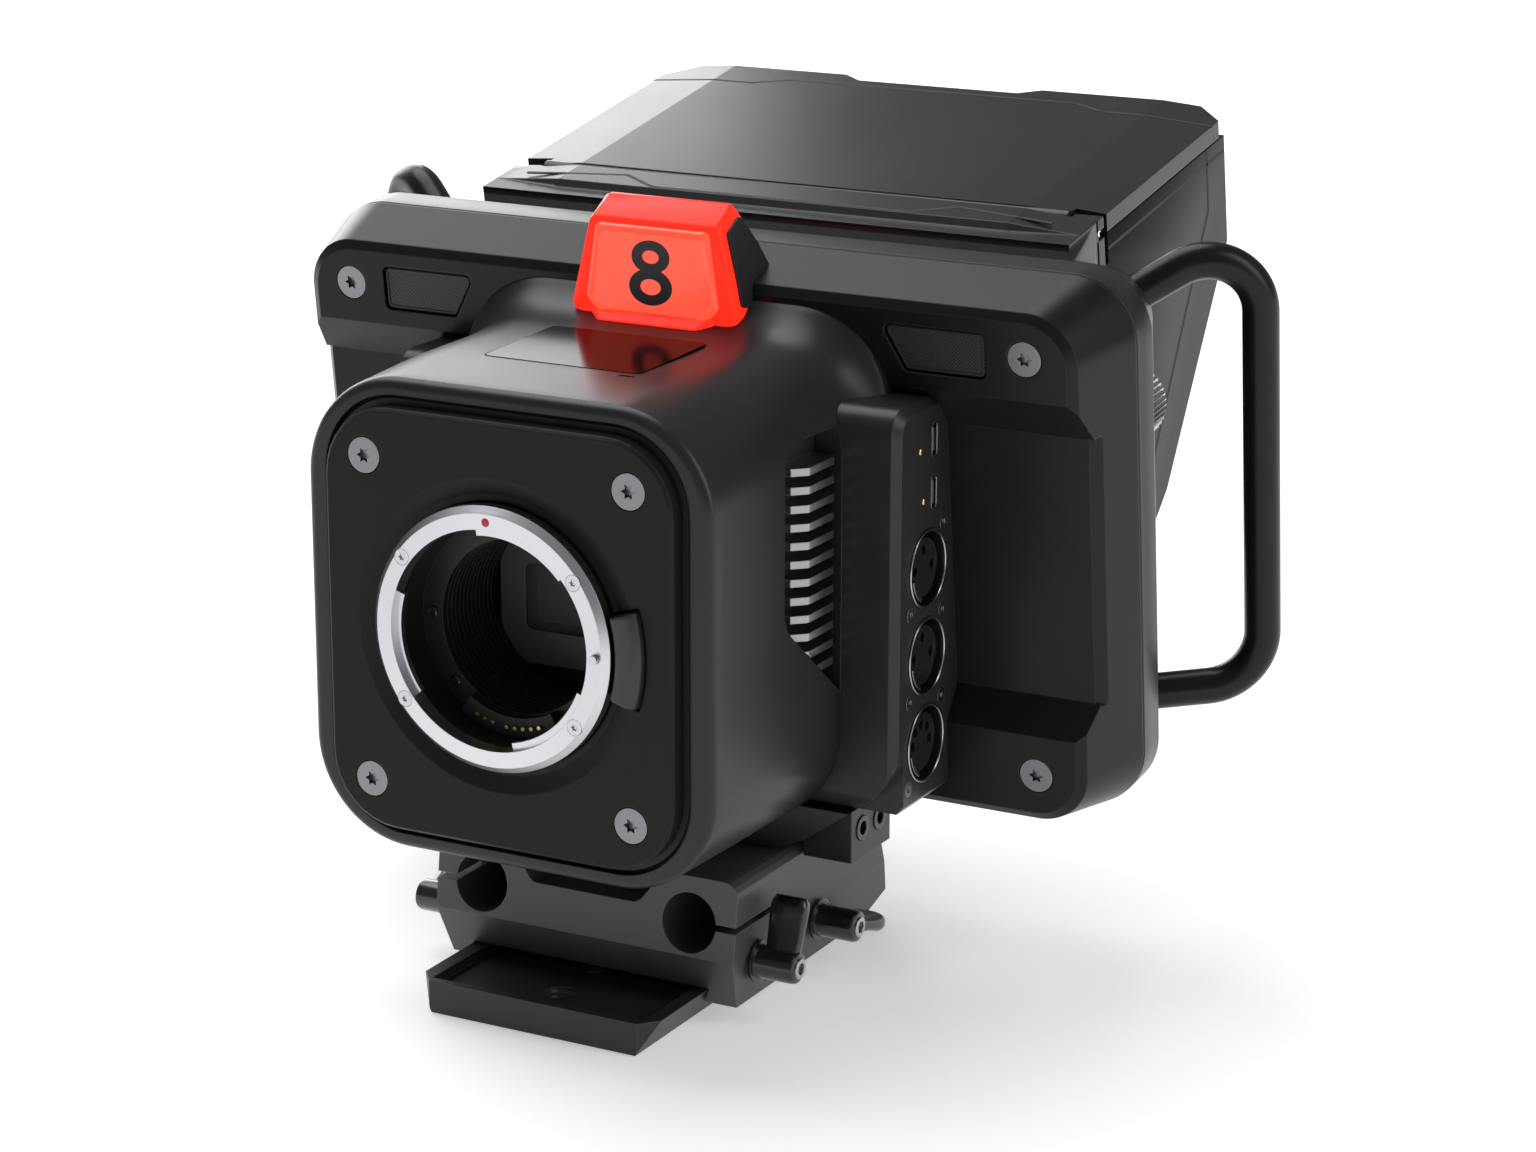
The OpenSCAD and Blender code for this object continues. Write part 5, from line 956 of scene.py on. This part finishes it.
def wing_section(z):
    """Half thickness and half width of the wing at height z."""
    waist = 2.15 + 0.75 * (2 * z / 17.1 - 0.9) ** 2
    width = 4.3 + 0.7 * min(1, max(0, z) / 12)
    if z > TIP_FROM:
        waist *= math.sqrt(max(0.05, 1 - ((z - TIP_FROM) / TIP_LENGTH) ** 2))
    if z > NARROW_FROM:
        width -= 0.9 * ((z - NARROW_FROM) / NARROW_LENGTH) ** 2
    return waist, width


def lever_wing(matrix, n=28):
    verts = []
    for k in range(WING_RINGS + 1):
        z = WING_FOOT + WING_LENGTH * k / WING_RINGS
        waist, width = wing_section(z)
        for i in range(n):
            a = 2 * math.pi * i / n
            c, q = math.cos(a), math.sin(a)
            verts.append((WING_X + width * math.copysign(abs(c) ** 0.55, c),
                          waist * math.copysign(abs(q) ** 0.75, q), z))
    faces = tube_faces(WING_RINGS + 1, n)
    faces += [tuple(range(n)), tuple(range(WING_RINGS * n, (WING_RINGS + 1) * n))]
    return mesh_piece("wing", verts, faces, matrix)


for name, (s, y, angle) in LEVERS.items():
    place = (LENS @ Matrix.Translation((s * LEVER_X, y, LEVER_Z))
             @ Matrix.Rotation(math.radians(angle), 4, "X"))
    if s < 0:
        place = place @ MIRROR
    hub = about_x(name + "_skin", HUB, 40, place)
    done(joined(hub, lever_wing(place)), "lever_black", body=name, nodes=[name], angle=40)
    done(about_x(name + "_screw", SCREW, 30, place), "pin_steel", body=name)

# Connector pod: lamps beside the two small sockets and bright rims round the microphone sockets

POD_LAMPS = [(82.8, 36.4), (84.9, 23.5)]
POD_LAMP = [(0, -0.35), (0.7, -0.3), (0.95, -0.1), (1.0, 0.2), (0, 0.2)]
SOCKET_Y, SOCKET_TOP, SOCKET_PITCH = 87.3, 6.1, 22.4
RIM = [(9.35, -0.32), (9.5, -0.5), (9.85, -0.5), (9.98, -0.32), (9.98, 0.3), (9.35, 0.3)]


def on_pod(y, z):
    """A place on the pod's face, its Y looking into the pod."""
    return (LENS @ Matrix.Translation((POD_HALF, y, z))
            @ Matrix.Rotation(math.radians(90), 4, "Z"))


for i, (y, z) in enumerate(POD_LAMPS):
    done(turned(f"pod_lamp_{i + 1}", POD_LAMP, steps=24, matrix=on_pod(y, z)), "contact_gold")
rims = joined(*[turned("rim", RIM, steps=72,
                       matrix=on_pod(SOCKET_Y, SOCKET_TOP - SOCKET_PITCH * i)) for i in range(3)])
rims.name = "socket_rims"
done(rims, "socket_nickel")

# Thread turns in the sliding plate's two holes

THREAD_FOOT, THREAD_SPARE = -104.8, 0.02
# Place along Y, radius, pitch and turns
THREADS = {"tripod_thread_turns": (31.0, 4.0, 1.5875, 3),
           "small_thread_turns": (47.3, 2.6, 1.27, 4)}
for name, (y, r, pitch, turns) in THREADS.items():
    verts, steps = [], 36
    root = r + THREAD_SPARE
    tooth = [(root, 0.0), (r - 0.45 * pitch / 1.5, pitch * 0.42), (root, pitch * 0.84)]
    count = turns * steps
    for i in range(count + 1):
        a = 2 * math.pi * i / steps
        z = THREAD_FOOT + pitch * i / steps
        verts += [(reach * math.cos(a), y + reach * math.sin(a), z + rise)
                  for reach, rise in tooth]
    faces = [(3 * i + j, 3 * i + j + 1, 3 * i + 4 + j, 3 * i + 3 + j)
             for i in range(count) for j in range(2)]
    done(mesh_piece(name, verts, faces), "plate_metal", body="tripod_plate")

# The camera, as the photograph was taken

CAMERA_AT = (0.46552, -0.76012, 0.36561)
CAMERA_LENS = 90.116
AZIMUTH, ELEVATION, ROLL = (math.radians(a) for a in (28.2, 15.82, 0.14))

lens_camera = bpy.data.cameras.new("camera")
lens_camera.lens = CAMERA_LENS
lens_camera.sensor_width = 36
lens_camera.clip_start = 0.01
camera = bpy.data.objects.new("camera", lens_camera)
bpy.context.scene.collection.objects.link(camera)
look = Vector((-math.sin(AZIMUTH) * math.cos(ELEVATION), math.cos(AZIMUTH) * math.cos(ELEVATION),
               -math.sin(ELEVATION)))
right = Vector((math.cos(AZIMUTH), math.sin(AZIMUTH), 0))
up = right.cross(look)
right, up = (right * math.cos(ROLL) + up * math.sin(ROLL),
             up * math.cos(ROLL) - right * math.sin(ROLL))
pose = Matrix((right, up, -look)).transposed().to_4x4()
pose.translation = CAMERA_AT
camera.matrix_world = pose
bpy.context.scene.camera = camera

# Studio

FLOOR_HALF, FLOOR_FRONT, FLOOR_REAR, FLOOR_Z = 6, -4, 9, -0.0002
floor_mesh = bpy.data.meshes.new("floor")
floor_mesh.from_pydata([(x, y, FLOOR_Z) for x, y in (
    (-FLOOR_HALF, FLOOR_FRONT), (FLOOR_HALF, FLOOR_FRONT), (FLOOR_HALF, FLOOR_REAR),
    (-FLOOR_HALF, FLOOR_REAR))], [], [(0, 1, 2, 3)])
floor = bpy.data.objects.new("floor", floor_mesh)
bpy.context.scene.collection.objects.link(floor)
floor.data.materials.append(surface("floor_pale", (0.9, 0.9, 0.9), rough=0.8, grain=0.0,
                                    mottle=0.01, edge=0, specular=0.1, emission=(1, 1, 1),
                                    strength=0.4))


def softbox(name, place, aim, width, height, power):
    light = bpy.data.lights.new(name, "AREA")
    light.energy = power
    light.shape = "RECTANGLE"
    light.size = width
    light.size_y = height
    obj = bpy.data.objects.new(name, light)
    obj.location = place
    obj.rotation_euler = (Vector(aim) - Vector(place)).to_track_quat("-Z", "Y").to_euler()
    obj.visible_camera = False
    bpy.context.scene.collection.objects.link(obj)


softbox("rear_left_box", (-1.75, 1.55, 0.75), (0, 0.1, 0.15), 1.5, 1.1, 22)
softbox("right_box", (1.5, 0.2, 0.9), (0, 0.05, 0.1), 0.6, 1.4, 9)
sky = bpy.data.lights.new("sky", "SUN")
sky.energy = 2.0
sky.angle = math.radians(50)
sky_light = bpy.data.objects.new("sky", sky)
sky_light.rotation_euler = (math.radians(-12), math.radians(-24), 0)
bpy.context.scene.collection.objects.link(sky_light)
world = bpy.data.worlds.new("world")
world.use_nodes = True
world.node_tree.nodes["Background"].inputs[0].default_value = (0.9, 0.92, 0.95, 1)
world.node_tree.nodes["Background"].inputs[1].default_value = 0.22
bpy.context.scene.world = world
bpy.context.scene.view_settings.view_transform = "Standard"
